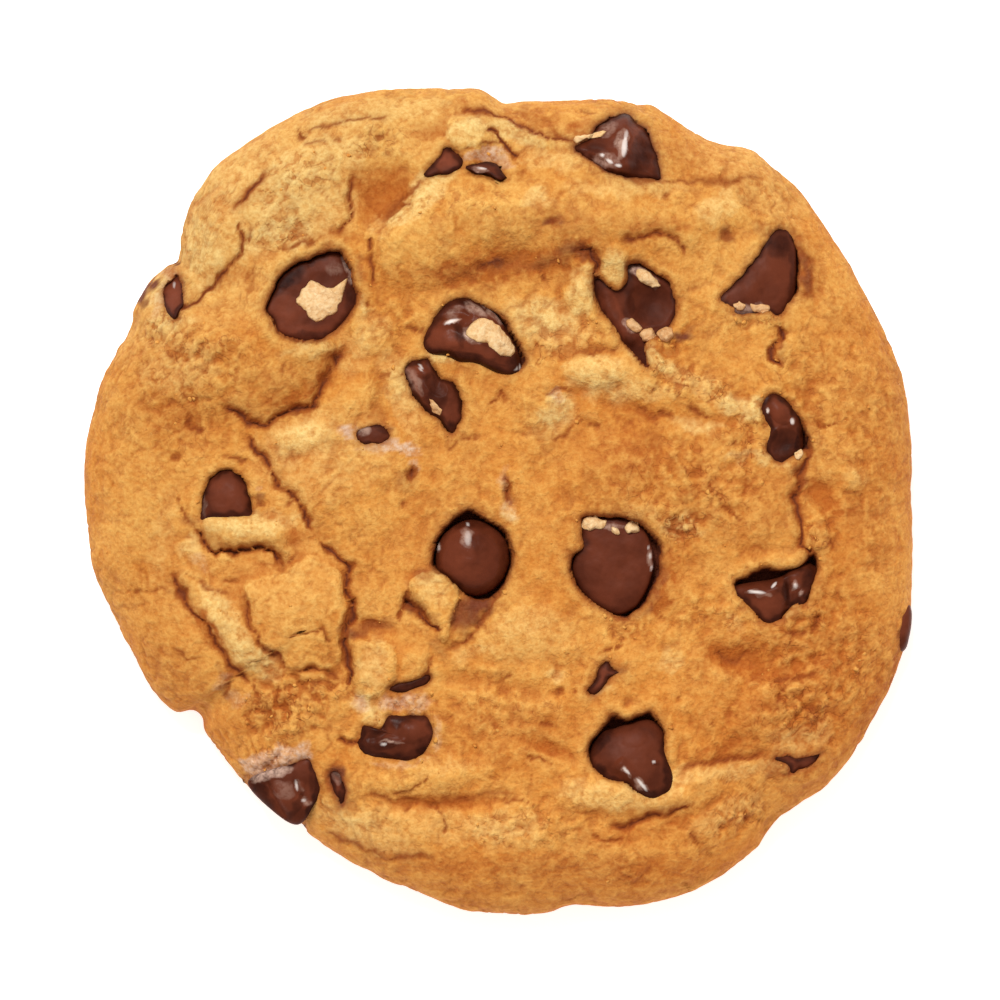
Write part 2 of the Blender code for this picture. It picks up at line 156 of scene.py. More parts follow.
# mounds and hollows: middle, half length, half width, turn, rise
mounds = [
    (-5.5, 31.0, 11.5, 7.0, 18, 2.3), (9.5, 32.5, 16.0, 6.8, -4, 2.3),  # broad mound above the middle
    (-26.0, 35.5, 20.0, 6.5, 40, 1.5), (-33.5, 29.0, 6.0, 4.5, 75, 0.9),  # lobe along the upper left rim
    (-12.8, 34.5, 5.2, 4.4, 60, -2.0),  # orange valley between it and the mound
    (-30.0, 17.0, 13.0, 8.5, 12, 2.4), (-22.5, 15.0, 6.0, 3.6, 35, 0.6),  # lobe that folds over above the cracks
    (-42.0, 2.0, 16.0, 5.0, 90, 0.8),  # left rim
    (-38.0, -16.0, 10.0, 5.5, -56, 1.5), (-31.0, -14.0, 8.5, 2.8, -52, 1.4),  # lower left lobe, pale ridge
    (-22.5, -13.0, 7.5, 6.5, 0, 1.0),  # cracked plate
    (20.5, 1.5, 14.0, 9.5, -8, 1.3), (30.0, -2.5, 5.0, 4.0, 0, 0.5),  # smooth plate right of the middle
    (17.5, 13.0, 11.0, 3.6, -14, 1.2), (27.5, 10.0, 3.4, 1.6, -20, 0.8),  # crumbly ridge above it
    (-16.0, 2.5, 9.0, 7.5, 30, 1.0),  # left of the middle
    (-28.5, -3.6, 5.6, 2.3, -6, 1.5),  # flap over the left chip
    (-8.5, -31.3, 9.0, 2.6, 8, 1.0), (-12.0, -37.0, 6.0, 3.0, -10, 0.7), (1.5, -36.5, 6.5, 3.4, 0, 0.9),
    (-5.0, -34.3, 8.0, 1.3, 0, -0.5),  # bottom valley
    (14.0, -33.6, 9.0, 2.4, -4, 1.3), (22.0, -33.0, 5.0, 2.4, 24, 0.8),  # ridge under the lower chip
    (2.0, -40.5, 22.0, 4.0, 0, 0.7), (25.0, -37.5, 8.0, 3.6, 32, 0.9),  # bottom rim
    (33.0, -23.0, 8.0, 5.0, 30, 1.2), (27.0, -18.0, 5.0, 2.2, -16, -0.9), (33.5, -18.8, 4.0, 1.2, 15, -0.7),
    (40.5, 6.0, 20.0, 5.0, 95, 0.9), (40.5, 2.2, 2.4, 2.0, 0, 0.5), (36.2, -4.0, 1.8, 1.5, 0, 0.7),
    (37.0, 0.0, 3.4, 1.8, -60, -0.7),  # brown dip beside the plate
    (24.0, 39.0, 9.0, 3.2, -28, 0.4), (25.5, 33.0, 4.0, 3.0, 0, 0.8), (31.5, 15.0, 6.0, 4.0, 20, 0.6),
    (9.3, 23.8, 2.4, 3.4, -10, 1.0), (13.2, 26.8, 1.8, 2.4, 0, 0.7), (-14.0, 18.5, 3.6, 2.6, 0, 0.7), (5.0, 11.0, 4.0, 3.4, 0, 0.5),
    (11.0, 14.7, 4.6, 2.2, -6, 1.0), (17.5, 15.6, 3.0, 1.6, -28, 0.9),
    (2.0, -14.5, 6.0, 4.0, 20, 0.7), (0.0, -21.0, 9.0, 1.6, -8, -0.5), (5.5, -28.0, 5.0, 1.2, -20, -0.5),
    (-14.5, -11.0, 2.4, 3.0, 0, 0.3), (-13.5, -14.4, 4.0, 1.2, -8, -0.6), (-9.8, -18.0, 2.8, 1.6, 0, 0.4),
    (-21.5, 7.2, 4.5, 2.2, 10, 0.7), (-35.0, -6.0, 2.0, 1.8, 0, 0.5), (-16.5, 11.5, 4.4, 2.6, 30, 0.5),
    (-26.0, 24.8, 2.0, 5.0, 20, 0.4), (-21.5, 16.8, 4.5, 1.4, 8, 0.8), (-12.0, 28.5, 1.8, 4.0, 0, 0.5),
    (3.0, 41.6, 4.5, 1.2, -20, 0.9), (-3.5, 42.2, 3.4, 2.0, 0, 0.6), (-7.6, 41.6, 2.4, 1.4, 0, -0.4),
    (-20.0, 38.5, 6.0, 3.0, 20, 0.5), (8.5, 37.8, 3.4, 1.8, -20, 0.5),
]

# raised plates with a clear edge: rise, width of the edge, outline
plates = [
    (0.9, 0.35, [(-9.9, -9.4), (-8.7, -8.5), (-7.0, -8.3), (-5.4, -9.1), (-4.5, -10.0), (-4.8, -12.0), (-5.3, -14.2),
                 (-6.0, -15.8), (-7.0, -14.4), (-8.2, -12.4), (-9.4, -11.0)]),
    (0.6, 0.7, [(-28.6, -9.6), (-26, -8.4), (-24.0, -8.0), (-21.5, -6.4), (-20.0, -7.0), (-18.0, -8.0),
                (-17.6, -10.0), (-17.0, -12.4), (-17.8, -15.0), (-17.6, -18.0), (-19.5, -19.1), (-21.2, -18.7),
                (-23.3, -19.6), (-25.0, -17.6), (-26.9, -16.2), (-27.8, -14.0), (-28.3, -12.0)]),
    (0.7, 0.7, [(-16.2, -16.2), (-14.5, -15.9), (-12.4, -16.2), (-11.6, -18.0), (-11.8, -20.2), (-13.2, -22.0),
                (-15.5, -22.2), (-16.4, -20.0)]),
    (0.8, 0.6, [(-5.2, 43.4), (-1.6, 42.6), (-0.6, 41.4), (0.2, 40.4), (-2.4, 40.1), (-4.4, 39.8), (-5.6, 41.2)]),
]

# folds: rise on the left of the line as it is followed, reach of that rise, depth and width of the crease
folds = [
    (1.7, 5.0, 1.3, 0.8, [(-31.6, 10.6), (-30.3, 10.2), (-29.0, 9.5), (-27.8, 8.8), (-26.3, 8.5), (-25.2, 9.4),
                          (-24.0, 9.8), (-22.3, 10.2), (-20.7, 10.4), (-20.3, 12.2), (-19.3, 14.1),
                          (-18.2, 15.8), (-17.2, 17.4)]),
    (0.5, 4.0, 1.3, 0.5, [(-28.4, 7.6), (-27.3, 5.6), (-26.5, 4.5), (-25.8, 3.0), (-24.8, 1.6), (-23.6, 0.6),
                          (-22.6, -0.6), (-21.8, -1.8), (-21.2, -3.0), (-20.4, -3.8)]),
    (0.8, 4.0, 1.4, 0.7, [(-20.4, -4.4), (-19.1, -5.8), (-18.2, -6.6), (-17.3, -7.0), (-16.9, -7.8), (-17.2, -9.0),
                          (-17.0, -10.0), (-16.6, -11.0), (-16.3, -12.0), (-16.6, -13.5), (-17.3, -15.0),
                          (-17.1, -16.5), (-16.9, -18.0), (-16.7, -19.5), (-16.9, -21.4)]),
    (1.5, 2.4, 2.0, 0.66, [(-34.6, -2.6), (-34.0, -3.6), (-33.0, -5.0), (-32.0, -5.7), (-30.0, -5.9), (-27.0, -5.5),
                           (-26.0, -5.5), (-25.3, -6.0), (-24.7, -7.0), (-24.0, -8.0)]),
    (1.0, 5.0, 1.2, 0.7, [(-37.2, -7.4), (-36.2, -10.0), (-35.4, -10.8), (-34.5, -12.5), (-33.3, -13.8),
                          (-32.3, -15.0), (-31.8, -16.3), (-31.2, -17.3), (-30.5, -18.3), (-29.8, -19.2),
                          (-28.9, -19.8), (-27.8, -21.0)]),
    (0.9, 4.0, 1.1, 0.6, [(-35.6, 21.6), (-34.3, 22.4), (-33.0, 23.4), (-31.6, 24.9), (-30.6, 26.2), (-29.6, 27.2)]),
    (0.7, 3.0, 1.1, 0.8, [(-26.2, 37.9), (-27.0, 36.1), (-28.1, 34.9), (-29.3, 33.4), (-30.2, 32.6)]),
    (1.0, 5.0, 1.3, 0.75, [(36.3, -7.2), (35.2, -5.8), (34.4, -5.0), (34.1, -3.4), (34.2, -2.0), (33.8, -0.5),
                           (33.6, 1.0), (34.0, 2.5), (34.8, 4.2), (35.2, 6.4)]),
    (0.7, 4.0, 0.7, 0.8, [(31.0, -28.9), (28.0, -29.1), (25.0, -29.5), (23.0, -29.9), (20.6, -30.2)]),
    (0.9, 4.0, 1.0, 0.8, [(12.0, -36.9), (14.5, -36.8), (16.0, -36.2), (18.0, -35.7), (20.0, -35.1), (22.4, -34.4)]),
    (0.25, 3.0, 0.16, 0.9, [(-12.0, -33.9), (-8.0, -34.2), (-4.0, -34.0), (-1.6, -33.3), (2.4, -33.4)]),
    (0.3, 3.0, 0.4, 0.5, [(-15.4, -33.0), (-13.8, -33.2), (-12.4, -33.9), (-11.4, -34.9)]),
    (0.9, 4.0, 0.9, 0.7, [(9.4, 40.8), (7.5, 40.9), (6.0, 41.2), (4.0, 41.7), (2.0, 42.5), (0.0, 43.5), (-2.0, 44.0),
                          (-4.5, 44.4)]),
    (0.5, 4.0, 0.4, 0.9, [(30.5, 36.9), (26.0, 36.1), (22.0, 36.0), (18.5, 35.9), (14.0, 36.1)]),
    (1.0, 4.0, 0.9, 0.9, [(13.4, 29.0), (15.0, 29.4), (17.0, 29.8), (19.0, 30.0), (20.5, 29.3), (21.3, 28.3),
                          (21.2, 27.0)]),
    (0.9, 4.0, 0.9, 0.8, [(-18.6, 29.6), (-17.2, 31.0), (-16.6, 33.0), (-16.5, 35.0), (-16.4, 37.5)]),
    (0.9, 4.0, 0.5, 0.7, [(-7.6, 36.7), (-9.5, 35.4), (-11.5, 33.2), (-13.9, 31.2)]),
    (0.6, 4.0, 0.8, 0.6, [(-17.6, -20.4), (-19.5, -19.4), (-21.0, -18.9), (-22.5, -19.2), (-23.3, -19.9)]),
    (0.6, 3.0, 0.8, 0.5, [(-23.6, -19.6), (-24.8, -18.0), (-25.6, -17.0), (-26.8, -16.4), (-27.5, -15.3),
                          (-27.9, -13.8), (-28.2, -12.4), (-28.5, -11.0), (-28.6, -9.8)]),
    (0.9, 4.0, 0.7, 0.6, [(-6.4, -17.4), (-5.0, -16.2), (-3.5, -15.7), (-2.5, -14.3), (-1.3, -12.7), (0.0, -11.0),
                          (1.0, -9.4)]),
    (0.7, 4.0, 0.7, 0.5, [(-7.6, -20.8), (-8.1, -19.2), (-6.8, -17.6)]),
    (0.7, 3.0, 0.5, 0.6, [(8.2, 9.6), (10.0, 8.8), (11.9, 8.0)]),
    (0.6, 3.0, 0.6, 0.6, [(20.6, 11.0), (22.2, 10.5), (23.4, 9.5), (24.9, 8.7)]),
    (0.7, 3.0, 0.5, 0.5, [(8.2, 16.9), (10.3, 16.4), (12.0, 17.0), (14.4, 16.9)]),
    (0.5, 3.0, 0.4, 0.5, [(4.2, 12.0), (6.5, 12.3), (8.0, 12.6), (8.7, 11.4)]),
    (0.6, 4.0, 0.5, 0.8, [(-20.0, -37.7), (-18.0, -38.2), (-16.0, -39.0), (-14.0, -40.0), (-12.0, -40.5),
                          (-9.0, -40.3), (-6.6, -41.0)]),
    (0.5, 3.0, 0.5, 0.5, [(-22.4, 41.3), (-20.0, 42.2), (-16.0, 43.0), (-11.6, 43.4)]),
    (0.7, 3.0, 0.4, 0.6, [(38.0, 1.6), (39.6, 0.8), (42.2, 0.2)]),
    (0.8, 3.0, 0.8, 0.6, [(35.6, -14.9), (33.4, -15.3), (31.4, -15.2)]),
]

# cracks: depth, half width, line
cracks = [
    (1.5, 0.5, [(8.4, 28.3), (9.8, 28.3), (10.8, 27.6), (11.4, 26.5), (11.0, 25.3)]), (1.0, 0.4, [(-18.4, -26.9), (-17.0, -27.2), (-15.8, -27.6)]),
    (0.8, 0.35, [(0.5, 2.9), (1.1, 1.7), (0.8, 0.5), (1.4, -0.5)]), (1.2, 0.4, [(-35.7, 21.4), (-34.8, 22.2)]),
    (1.4, 0.55, [(-10.9, -11.2), (-9.9, -11.9), (-9.2, -12.6)]),
    (0.8, 0.35, [(-2.6, 26.2), (-1.2, 26.6), (0.4, 26.3)]), (0.6, 0.3, [(-31.6, 5.2), (-29.6, 4.6), (-28.0, 4.4)]),
    (0.5, 0.3, [(-36.0, 12.0), (-35.0, 11.6), (-33.4, 11.9)]), (0.6, 0.3, [(36.6, 8.9), (37.3, 8.3), (38.8, 8.8)]),
    (0.5, 0.3, [(-23.6, -1.0), (-23.4, 0.2), (-22.6, 0.6)]), (0.5, 0.25, [(10.8, -38.0), (12.6, -38.6), (14.4, -38.4)]),
    (0.9, 0.4, [(-30.4, 26.4), (-29.2, 27.8), (-28.8, 29.4), (-29.3, 31.2)]), (0.5, 0.3, [(-28.2, 28.8), (-27.9, 30.2), (-28.2, 31.2)]),
    (0.8, 0.3, [(-22.4, 42.0), (-22.2, 41.2), (-21.5, 40.7)]), (0.4, 0.25, [(-22.0, 40.3), (-20.0, 40.5), (-17.5, 41.0)]),
    (0.9, 0.34, [(-14.2, 30.0), (-14.5, 28.5), (-14.4, 27.0), (-14.0, 25.5), (-13.8, 24.2)]),
    (0.6, 0.3, [(-15.0, 23.0), (-14.6, 21.4)]), (0.5, 0.25, [(-11.4, 33.1), (-10.4, 33.3), (-9.5, 33.9)]),
    (1.8, 0.44, [(-1.6, 41.9), (-0.3, 41.3), (0.3, 40.6), (1.2, 39.6), (2.2, 38.6)]),
    (0.7, 0.3, [(-2.4, 40.3), (-1.0, 40.2), (0.2, 40.4)]), (0.6, 0.3, [(-4.2, 39.8), (-2.9, 40.1)]),
    (0.7, 0.4, [(4.4, 26.6), (5.0, 25.4), (5.3, 24.2)]),
    (0.45, 0.7, [(34.0, 29.0), (35.0, 27.4), (35.6, 25.4), (35.4, 23.8), (34.4, 22.8)]),
    (1.3, 0.5, [(32.0, 20.2), (31.9, 18.3), (31.3, 17.4), (31.1, 16.6), (31.5, 15.8), (32.1, 15.1)]),
    (0.6, 0.3, [(36.4, 9.4), (37.3, 7.9)]), (0.6, 0.25, [(17.8, 13.8), (17.5, 12.6), (17.2, 11.7)]),
    (0.6, 0.35, [(16.0, 10.6), (17.0, 9.5), (18.5, 9.8), (20.2, 9.4)]), (0.4, 0.25, [(24.0, 2.5), (24.0, 1.0), (25.0, 0.0), (27.0, -2.0), (28.0, -3.0)]),
    (0.5, 0.3, [(36.5, -4.0), (38.2, -5.6)]), (0.7, 0.3, [(36.4, -12.4), (36.0, -14.0), (35.2, -15.2)]),
    (0.7, 0.4, [(24.4, -17.6), (26.0, -17.9), (27.0, -18.2), (28.6, -17.0)]),
    (0.7, 0.4, [(31.0, -20.5), (33.0, -20.3), (35.0, -19.7), (37.2, -19.5)]),
    (0.6, 0.3, [(31.3, -24.2), (31.8, -22.5), (32.6, -21.2)]), (0.4, 0.25, [(-24.2, 15.6), (-24.3, 14.6), (-24.0, 13.7)]),
    (0.8, 0.3, [(-35.2, 9.8), (-35.0, 8.6), (-34.7, 8.0), (-33.4, 7.9)]), (0.5, 0.3, [(-36.6, 0.4), (-36.0, -0.6), (-35.3, -1.8), (-34.5, -3.0)]),
    (0.6, 0.3, [(-24.0, -7.1), (-22.6, -6.3)]), (0.4, 0.3, [(-41.0, -10.5), (-39.0, -10.4), (-36.5, -10.0)]),
    (0.5, 0.3, [(-37.0, -17.0), (-35.0, -18.0), (-33.5, -17.7)]), (0.5, 0.25, [(-34.0, -9.0), (-31.5, -10.3), (-30.0, -10.8)]),
    (0.5, 0.25, [(-28.8, -19.0), (-26.9, -18.4)]),
    (0.6, 0.25, [(-24.0, -15.6), (-22.0, -15.3), (-20.5, -15.0), (-20.0, -14.6), (-19.5, -15.2), (-18.8, -15.9), (-18.2, -16.0)]),
    (1.6, 0.5, [(-10.6, -11.5), (-9.6, -11.9), (-8.6, -13.0), (-7.6, -14.0), (-6.6, -15.1)]),
    (0.7, 0.35, [(-10.9, -14.2), (-11.0, -12.8), (-10.3, -11.6), (-10.3, -10.0)]),
    (0.5, 0.3, [(-13.6, 14.0), (-11.5, 14.3), (-10.8, 14.0)]), (0.5, 0.3, [(-11.0, 19.8), (-9.5, 19.5), (-8.0, 19.6)]),
    (0.5, 0.3, [(0.4, -20.4), (1.9, -19.4)]), (0.5, 0.3, [(4.6, -24.9), (6.1, -26.1)]), (0.6, 0.3, [(11.3, -17.6), (12.6, -16.9), (14.2, -16.7)]),
    (0.5, 0.3, [(-25.0, -21.0), (-24.8, -23.0), (-24.2, -24.6)]), (0.6, 0.3, [(-22.6, -25.0), (-21.9, -26.6)]),
    (0.5, 0.3, [(-12.2, -33.5), (-10.5, -33.0), (-9.0, -32.0), (-8.2, -30.8)]), (0.5, 0.3, [(-10.5, -35.4), (-9.5, -34.5), (-8.0, -34.2), (-7.0, -34.7), (-6.1, -36.0), (-6.0, -38.2)]),
    (0.5, 0.3, [(2.8, -28.9), (4.5, -29.2), (6.1, -30.1)]), (0.4, 0.3, [(0.0, -34.0), (2.5, -34.0), (4.2, -35.1)]),
    (0.7, 0.28, [(21.9, -37.4), (22.3, -38.5), (22.9, -39.2)]), (0.7, 0.28, [(28.0, -35.7), (28.7, -37.1)]),
    (0.5, 0.3, [(23.6, -25.6), (24.4, -24.6)]), (0.4, 0.3, [(-31.0, -9.0), (-29.4, -9.4)]),
    (0.6, 0.35, [(-20.6, 29.5), (-22.6, 28.6), (-24.8, 28.4)]), (0.4, 0.3, [(6.0, 6.4), (7.6, 7.4), (8.6, 8.8)]),
    (0.5, 0.35, [(18.3, -3.0), (20.3, -3.6), (22.4, -3.2)]), (0.5, 0.3, [(-29.0, -24.6), (-27.0, -24.0), (-25.0, -24.6)]),
    (0.5, 0.3, [(-31.2, -22.4), (-30.6, -20.6), (-30.0, -19.2)]), (0.4, 0.25, [(-27.8, -21.0), (-26.6, -22.4), (-26.0, -24.0)]),
    (0.4, 0.3, [(9.6, 44.2), (11.2, 43.4)]), (0.5, 0.3, [(34.0, -26.5), (36.0, -25.4)]), (0.6, 0.35, [(14.2, -10.9), (14.6, -13.6)]),
    (0.4, 0.25, [(-5.6, 5.4), (-4.4, 6.6), (-2.6, 7.4)]), (0.5, 0.3, [(0.6, 12.6), (-0.2, 11.2), (-1.6, 10.6)]),
]

# small holes: middle, radius, depth
holes = [
    (6.2, 31.7, 0.8, 0.9), (19.0, 34.1, 0.45, 0.5), (26.0, 29.8, 0.9, 0.8), (-10.0, 3.0, 0.8, 1.1), (-10.8, -0.4, 0.45, 0.7),
    (1.0, 0.9, 0.6, 0.9), (6.9, -21.4, 0.5, 0.8), (8.7, -21.8, 0.4, 0.6), (-36.4, 4.7, 0.5, 0.8), (-41.0, -10.4, 0.5, 0.8),
    (35.5, -23.7, 0.7, 0.8), (21.5, 0.8, 0.6, 0.5), (2.8, 37.0, 0.4, 0.4), (-22.0, 41.0, 0.5, 0.8), (-13.5, 41.0, 0.5, 0.7),
    (-37.0, 16.2, 0.6, 0.6), (-33.0, 14.5, 0.6, 0.6), (20.4, -22.1, 0.3, 0.5), (-27.0, -0.2, 0.6, 0.8), (1.0, 11.6, 0.6, 0.6),
    (19.8, -2.4, 0.4, 0.5), (21.8, -3.8, 0.4, 0.5), (23.2, -1.9, 0.35, 0.5), (20.6, -4.6, 0.35, 0.4), (37.4, -27.0, 0.5, 0.6),
    (26.4, 6.6, 0.6, 0.6), (-2.2, 7.2, 0.5, 0.5), (24.5, -25.6, 0.4, 0.4), (-19.0, 38.6, 0.4, 0.4), (-12.5, 39.1, 0.6, 0.5),
]

# openings in the dough over each chip: depth, raised lip, chocolate stain round it, outline
windows = {
    "chip_01": (3.6, 0.30, 0.5, [
        (-26.3, 21.6), (-25.6, 23.5), (-24.5, 25.5), (-23, 26.7), (-21, 27.6), (-19, 28.3), (-17.8, 28.2), (-17, 27.2),
        (-16.3, 25.8), (-16, 24), (-16, 22.5), (-16.8, 20.8), (-18.3, 19.2), (-19.5, 18.2), (-21.5, 17.9),
        (-23.5, 18.1), (-25, 19), (-25.8, 20.3)]),
    "chip_02": (3.0, 0.15, 0.6, [
        (-8.2, 17.5), (-7.5, 19.5), (-6.8, 21), (-5.5, 22.3), (-3.9, 22.9), (-2.5, 22.3), (-0.5, 21.5), (0.5, 20.5),
        (1.4, 19.4), (2.6, 17.5), (3.1, 15.8), (3, 14.9), (1.5, 14.3), (0, 14.7), (-2, 15.7), (-4, 16), (-6, 16.7),
        (-7.5, 16.8)]),
    "chip_03": (2.6, 0.15, 0.5, [
        (-9.5, 15.7), (-8.3, 16), (-7.8, 15.8), (-7.3, 14.8), (-6.4, 13.7), (-5.3, 13.3), (-4.5, 12.2), (-4, 11),
        (-4.2, 9.5), (-4.6, 8), (-5.2, 7.3), (-6.3, 8.5), (-7.5, 9.7), (-9, 11), (-9.8, 12.7), (-10.5, 14.3),
        (-10.3, 15.3)]),
    "chip_04": (3.4, 0.25, 0.9, [
        (8.6, 40), (10, 40.7), (11, 42), (12.3, 43), (14, 43.8), (15.6, 43), (16.8, 42), (17.7, 40), (18, 38),
        (18.4, 36.3), (16, 36.4), (14, 36.6), (12, 37.3), (10.3, 38.6)]),
    "chip_05": (4.0, 0.25, 0.4, [
        (10.8, 25.6), (11.4, 25.4), (12.3, 24.3), (13.4, 23.7), (14.5, 24.6),
        (14.4, 26.4), (15.2, 26.8), (16.2, 26.7), (18, 25.7), (19.5, 24.8), (20, 23.3), (20.2, 22), (19.9, 20.4),
        (18.9, 19.2), (17.3, 18.2), (16.6, 17.2), (17.2, 14.8), (16.2, 15.4), (14.5, 17.3), (13.8, 18.5), (12.8, 20),
        (11.6, 21.5), (11.0, 23), (10.7, 24.6)]),
    "chip_06": (3.4, 0.2, 0.5, [
        (30.9, 30.1), (32.0, 30.6), (33.1, 30.1), (33.9, 28.8), (34.0, 27.6), (34.3, 26.2), (34.0, 24.8), (34.1, 23.5), (33.6, 22.8),
        (32.6, 22.2), (32, 21), (30.5, 21.3), (28.5, 21.0), (27, 21), (26.5, 22), (25.2, 22.6), (26, 23.8), (28, 25.8),
        (29.5, 27.7), (30.5, 29.5)]),
    "chip_07": (3.0, 0.2, 0.5, [
        (30.8, 11.8), (32, 11.5), (33.3, 10.5), (34.3, 9), (35.2, 7.5), (35.2, 6), (34.5, 5.5), (33, 4.8), (32, 4.2),
        (31, 4.8), (30.3, 5.8), (31, 7), (31.2, 8), (30.3, 9.5), (30, 10.5)]),
    "chip_08": (3.8, 0.1, 0.5, [
        (-7.4, -5.5), (-7, -4.2), (-6, -3), (-5, -2), (-3.5, -1.1), (-2.3, -1.4), (-1.4, -2.2), (-0.3, -2.5),
        (0.8, -3.5), (1.5, -5), (1.8, -6.5), (1.5, -8), (0.9, -9.6), (-0.3, -10.9), (-1.6, -11.6), (-3.4, -11.0),
        (-4.6, -9.7), (-6.2, -8.4), (-7.3, -7.8)]),
    "chip_09": (3.0, 0.1, 0.5, [
        (9.8, -1.6), (12, -1.8), (14.5, -1.9), (16.2, -2.4), (17.5, -3.8), (18.4, -5.5), (18.5, -7.4), (18.0, -9.0),
        (17.4, -10.6), (16.4, -12.2), (15.0, -13.2), (13.5, -13.3), (12, -12.6), (10.2, -11.4), (8.8, -9.6),
        (8.2, -7.8), (8.4, -6.2), (9.5, -5.6), (9.5, -4.4), (9.3, -3)]),
    "chip_10": (3.4, 0.25, 0.4, [
        (26.6, -9.3), (28.5, -8.3), (30, -7.6), (32, -7.7), (34, -7.4), (34.9, -6.2), (35.5, -5.8), (36.3, -7.5),
        (35.8, -9), (35.3, -10.5), (34.7, -11.7), (33.7, -11.6), (33, -12.3), (31.8, -13.6), (30.3, -13.8),
        (29.2, -12.7), (27.8, -11.3), (26.9, -10)]),
    "chip_11": (3.6, 0.2, 0.5, [
        (13.4, -24.3), (14.7, -24.8), (16, -24.2), (17, -23.9), (18.3, -25), (18.9, -26.5), (18.7, -28), (19, -30),
        (19.2, -31.5), (18.8, -32.8), (17.5, -33.5), (16, -33), (14.5, -32), (12.5, -31.5), (11, -30.5), (10.2, -29),
        (10.5, -27.5), (11.5, -26), (12.3, -25)]),
    "chip_12": (3.2, 0.2, 0.3, [
        (-33.5, -2), (-33.4, 0.4), (-32.7, 2.2), (-31.5, 3.3), (-30.2, 3.4), (-29.0, 2.6), (-28.2, 1.2), (-27.8, -0.8),
        (-28.2, -1.4), (-29.5, -1.7), (-31.5, -1.7), (-32.8, -2)]),
    "chip_13": (2.8, 0.15, 0.5, [
        (-16.0, -27.6), (-15.4, -26.6), (-15.3, -25.5), (-14.6, -25.9), (-13.4, -26.2), (-12.7, -25.4), (-12.4, -24.4),
        (-11, -24.9), (-10, -24.5), (-8.3, -24.6), (-7.5, -25.5), (-7.5, -26.9), (-8.4, -28.5), (-9.9, -29.4),
        (-11.6, -29.1), (-13.8, -28.7), (-15, -28.2)]),
    "chip_14": (0.8, 0.0, 0.5, [
        (-28.9, -31.7), (-27.2, -31.4), (-25.8, -31.0), (-24.4, -30.3), (-23.2, -29.9), (-22.2, -29.2), (-21.3, -29.3),
        (-20.8, -30.5), (-20.3, -31.5), (-20.5, -33), (-21.4, -34.5), (-21.8, -36), (-22.3, -37.6), (-25, -38.0),
        (-27.6, -35.4)]),
    "chip_15": (2.2, 0.1, 0.9, [
        (-18.9, -31.2), (-18.4, -30.8), (-18.0, -31.3), (-17.7, -32.0), (-17.3, -32.8), (-17.5, -34), (-17.8, -34.7),
        (-18.3, -33.7), (-18.9, -32.6)]),
    "chip_16": (2.2, 0.1, 0.3, [
        (-8.2, 37), (-6.9, 38.7), (-5.9, 39.9), (-4.9, 39.3), (-4, 38.4), (-4.4, 37.5), (-5.5, 37), (-7.5, 36.6)]),
    "chip_17": (1.8, 0.1, 0.3, [
        (-4, 37.8), (-2.8, 38), (-1.5, 38.3), (-0.2, 37.8), (0.7, 37), (1.2, 36.5), (0.2, 36.2), (-1, 36.7),
        (-2.5, 37)]),
    "chip_18": (1.6, 0.1, 0.5, [
        (-36.3, 25.7), (-37.2, 24.9), (-38.2, 23.6), (-37.8, 22.2), (-37.0, 20.7), (-36.5, 20.9), (-35.8, 22.6),
        (-35.7, 24.4)]),
    "chip_19": (1.2, 0.0, 0.5, [
        (-16, 7.2), (-15, 8.3), (-13.6, 8.5), (-12.4, 7.9), (-12.2, 6.9), (-13.4, 6.3), (-15.2, 6.3)]),
    "chip_20": (1.6, 0.1, 0.6, [
        (12.4, -18.1), (13.0, -19.0), (14.3, -19.1), (13.9, -19.6), (12.7, -19.8), (12.0, -21.0), (10.9, -22.1),
        (10.1, -21.6), (10.9, -20.4), (11.5, -19.0)]),
    "chip_21": (1.4, 0.1, 0.5, [
        (31.4, -29.1), (32.6, -28.9), (34.0, -29.3), (35.6, -28.9), (36.7, -28.6), (36.0, -29.6), (34.6, -30.6),
        (33.2, -31.2), (32.8, -30.4), (32.2, -29.8)]),
    "chip_23": (1.6, 0.1, 0.4, [
        (-12.4, -21.5), (-11.4, -20.8), (-9.8, -20.5), (-7.7, -19.8), (-7.9, -20.8), (-9.6, -21.4), (-10.6, -21.8)]),
}

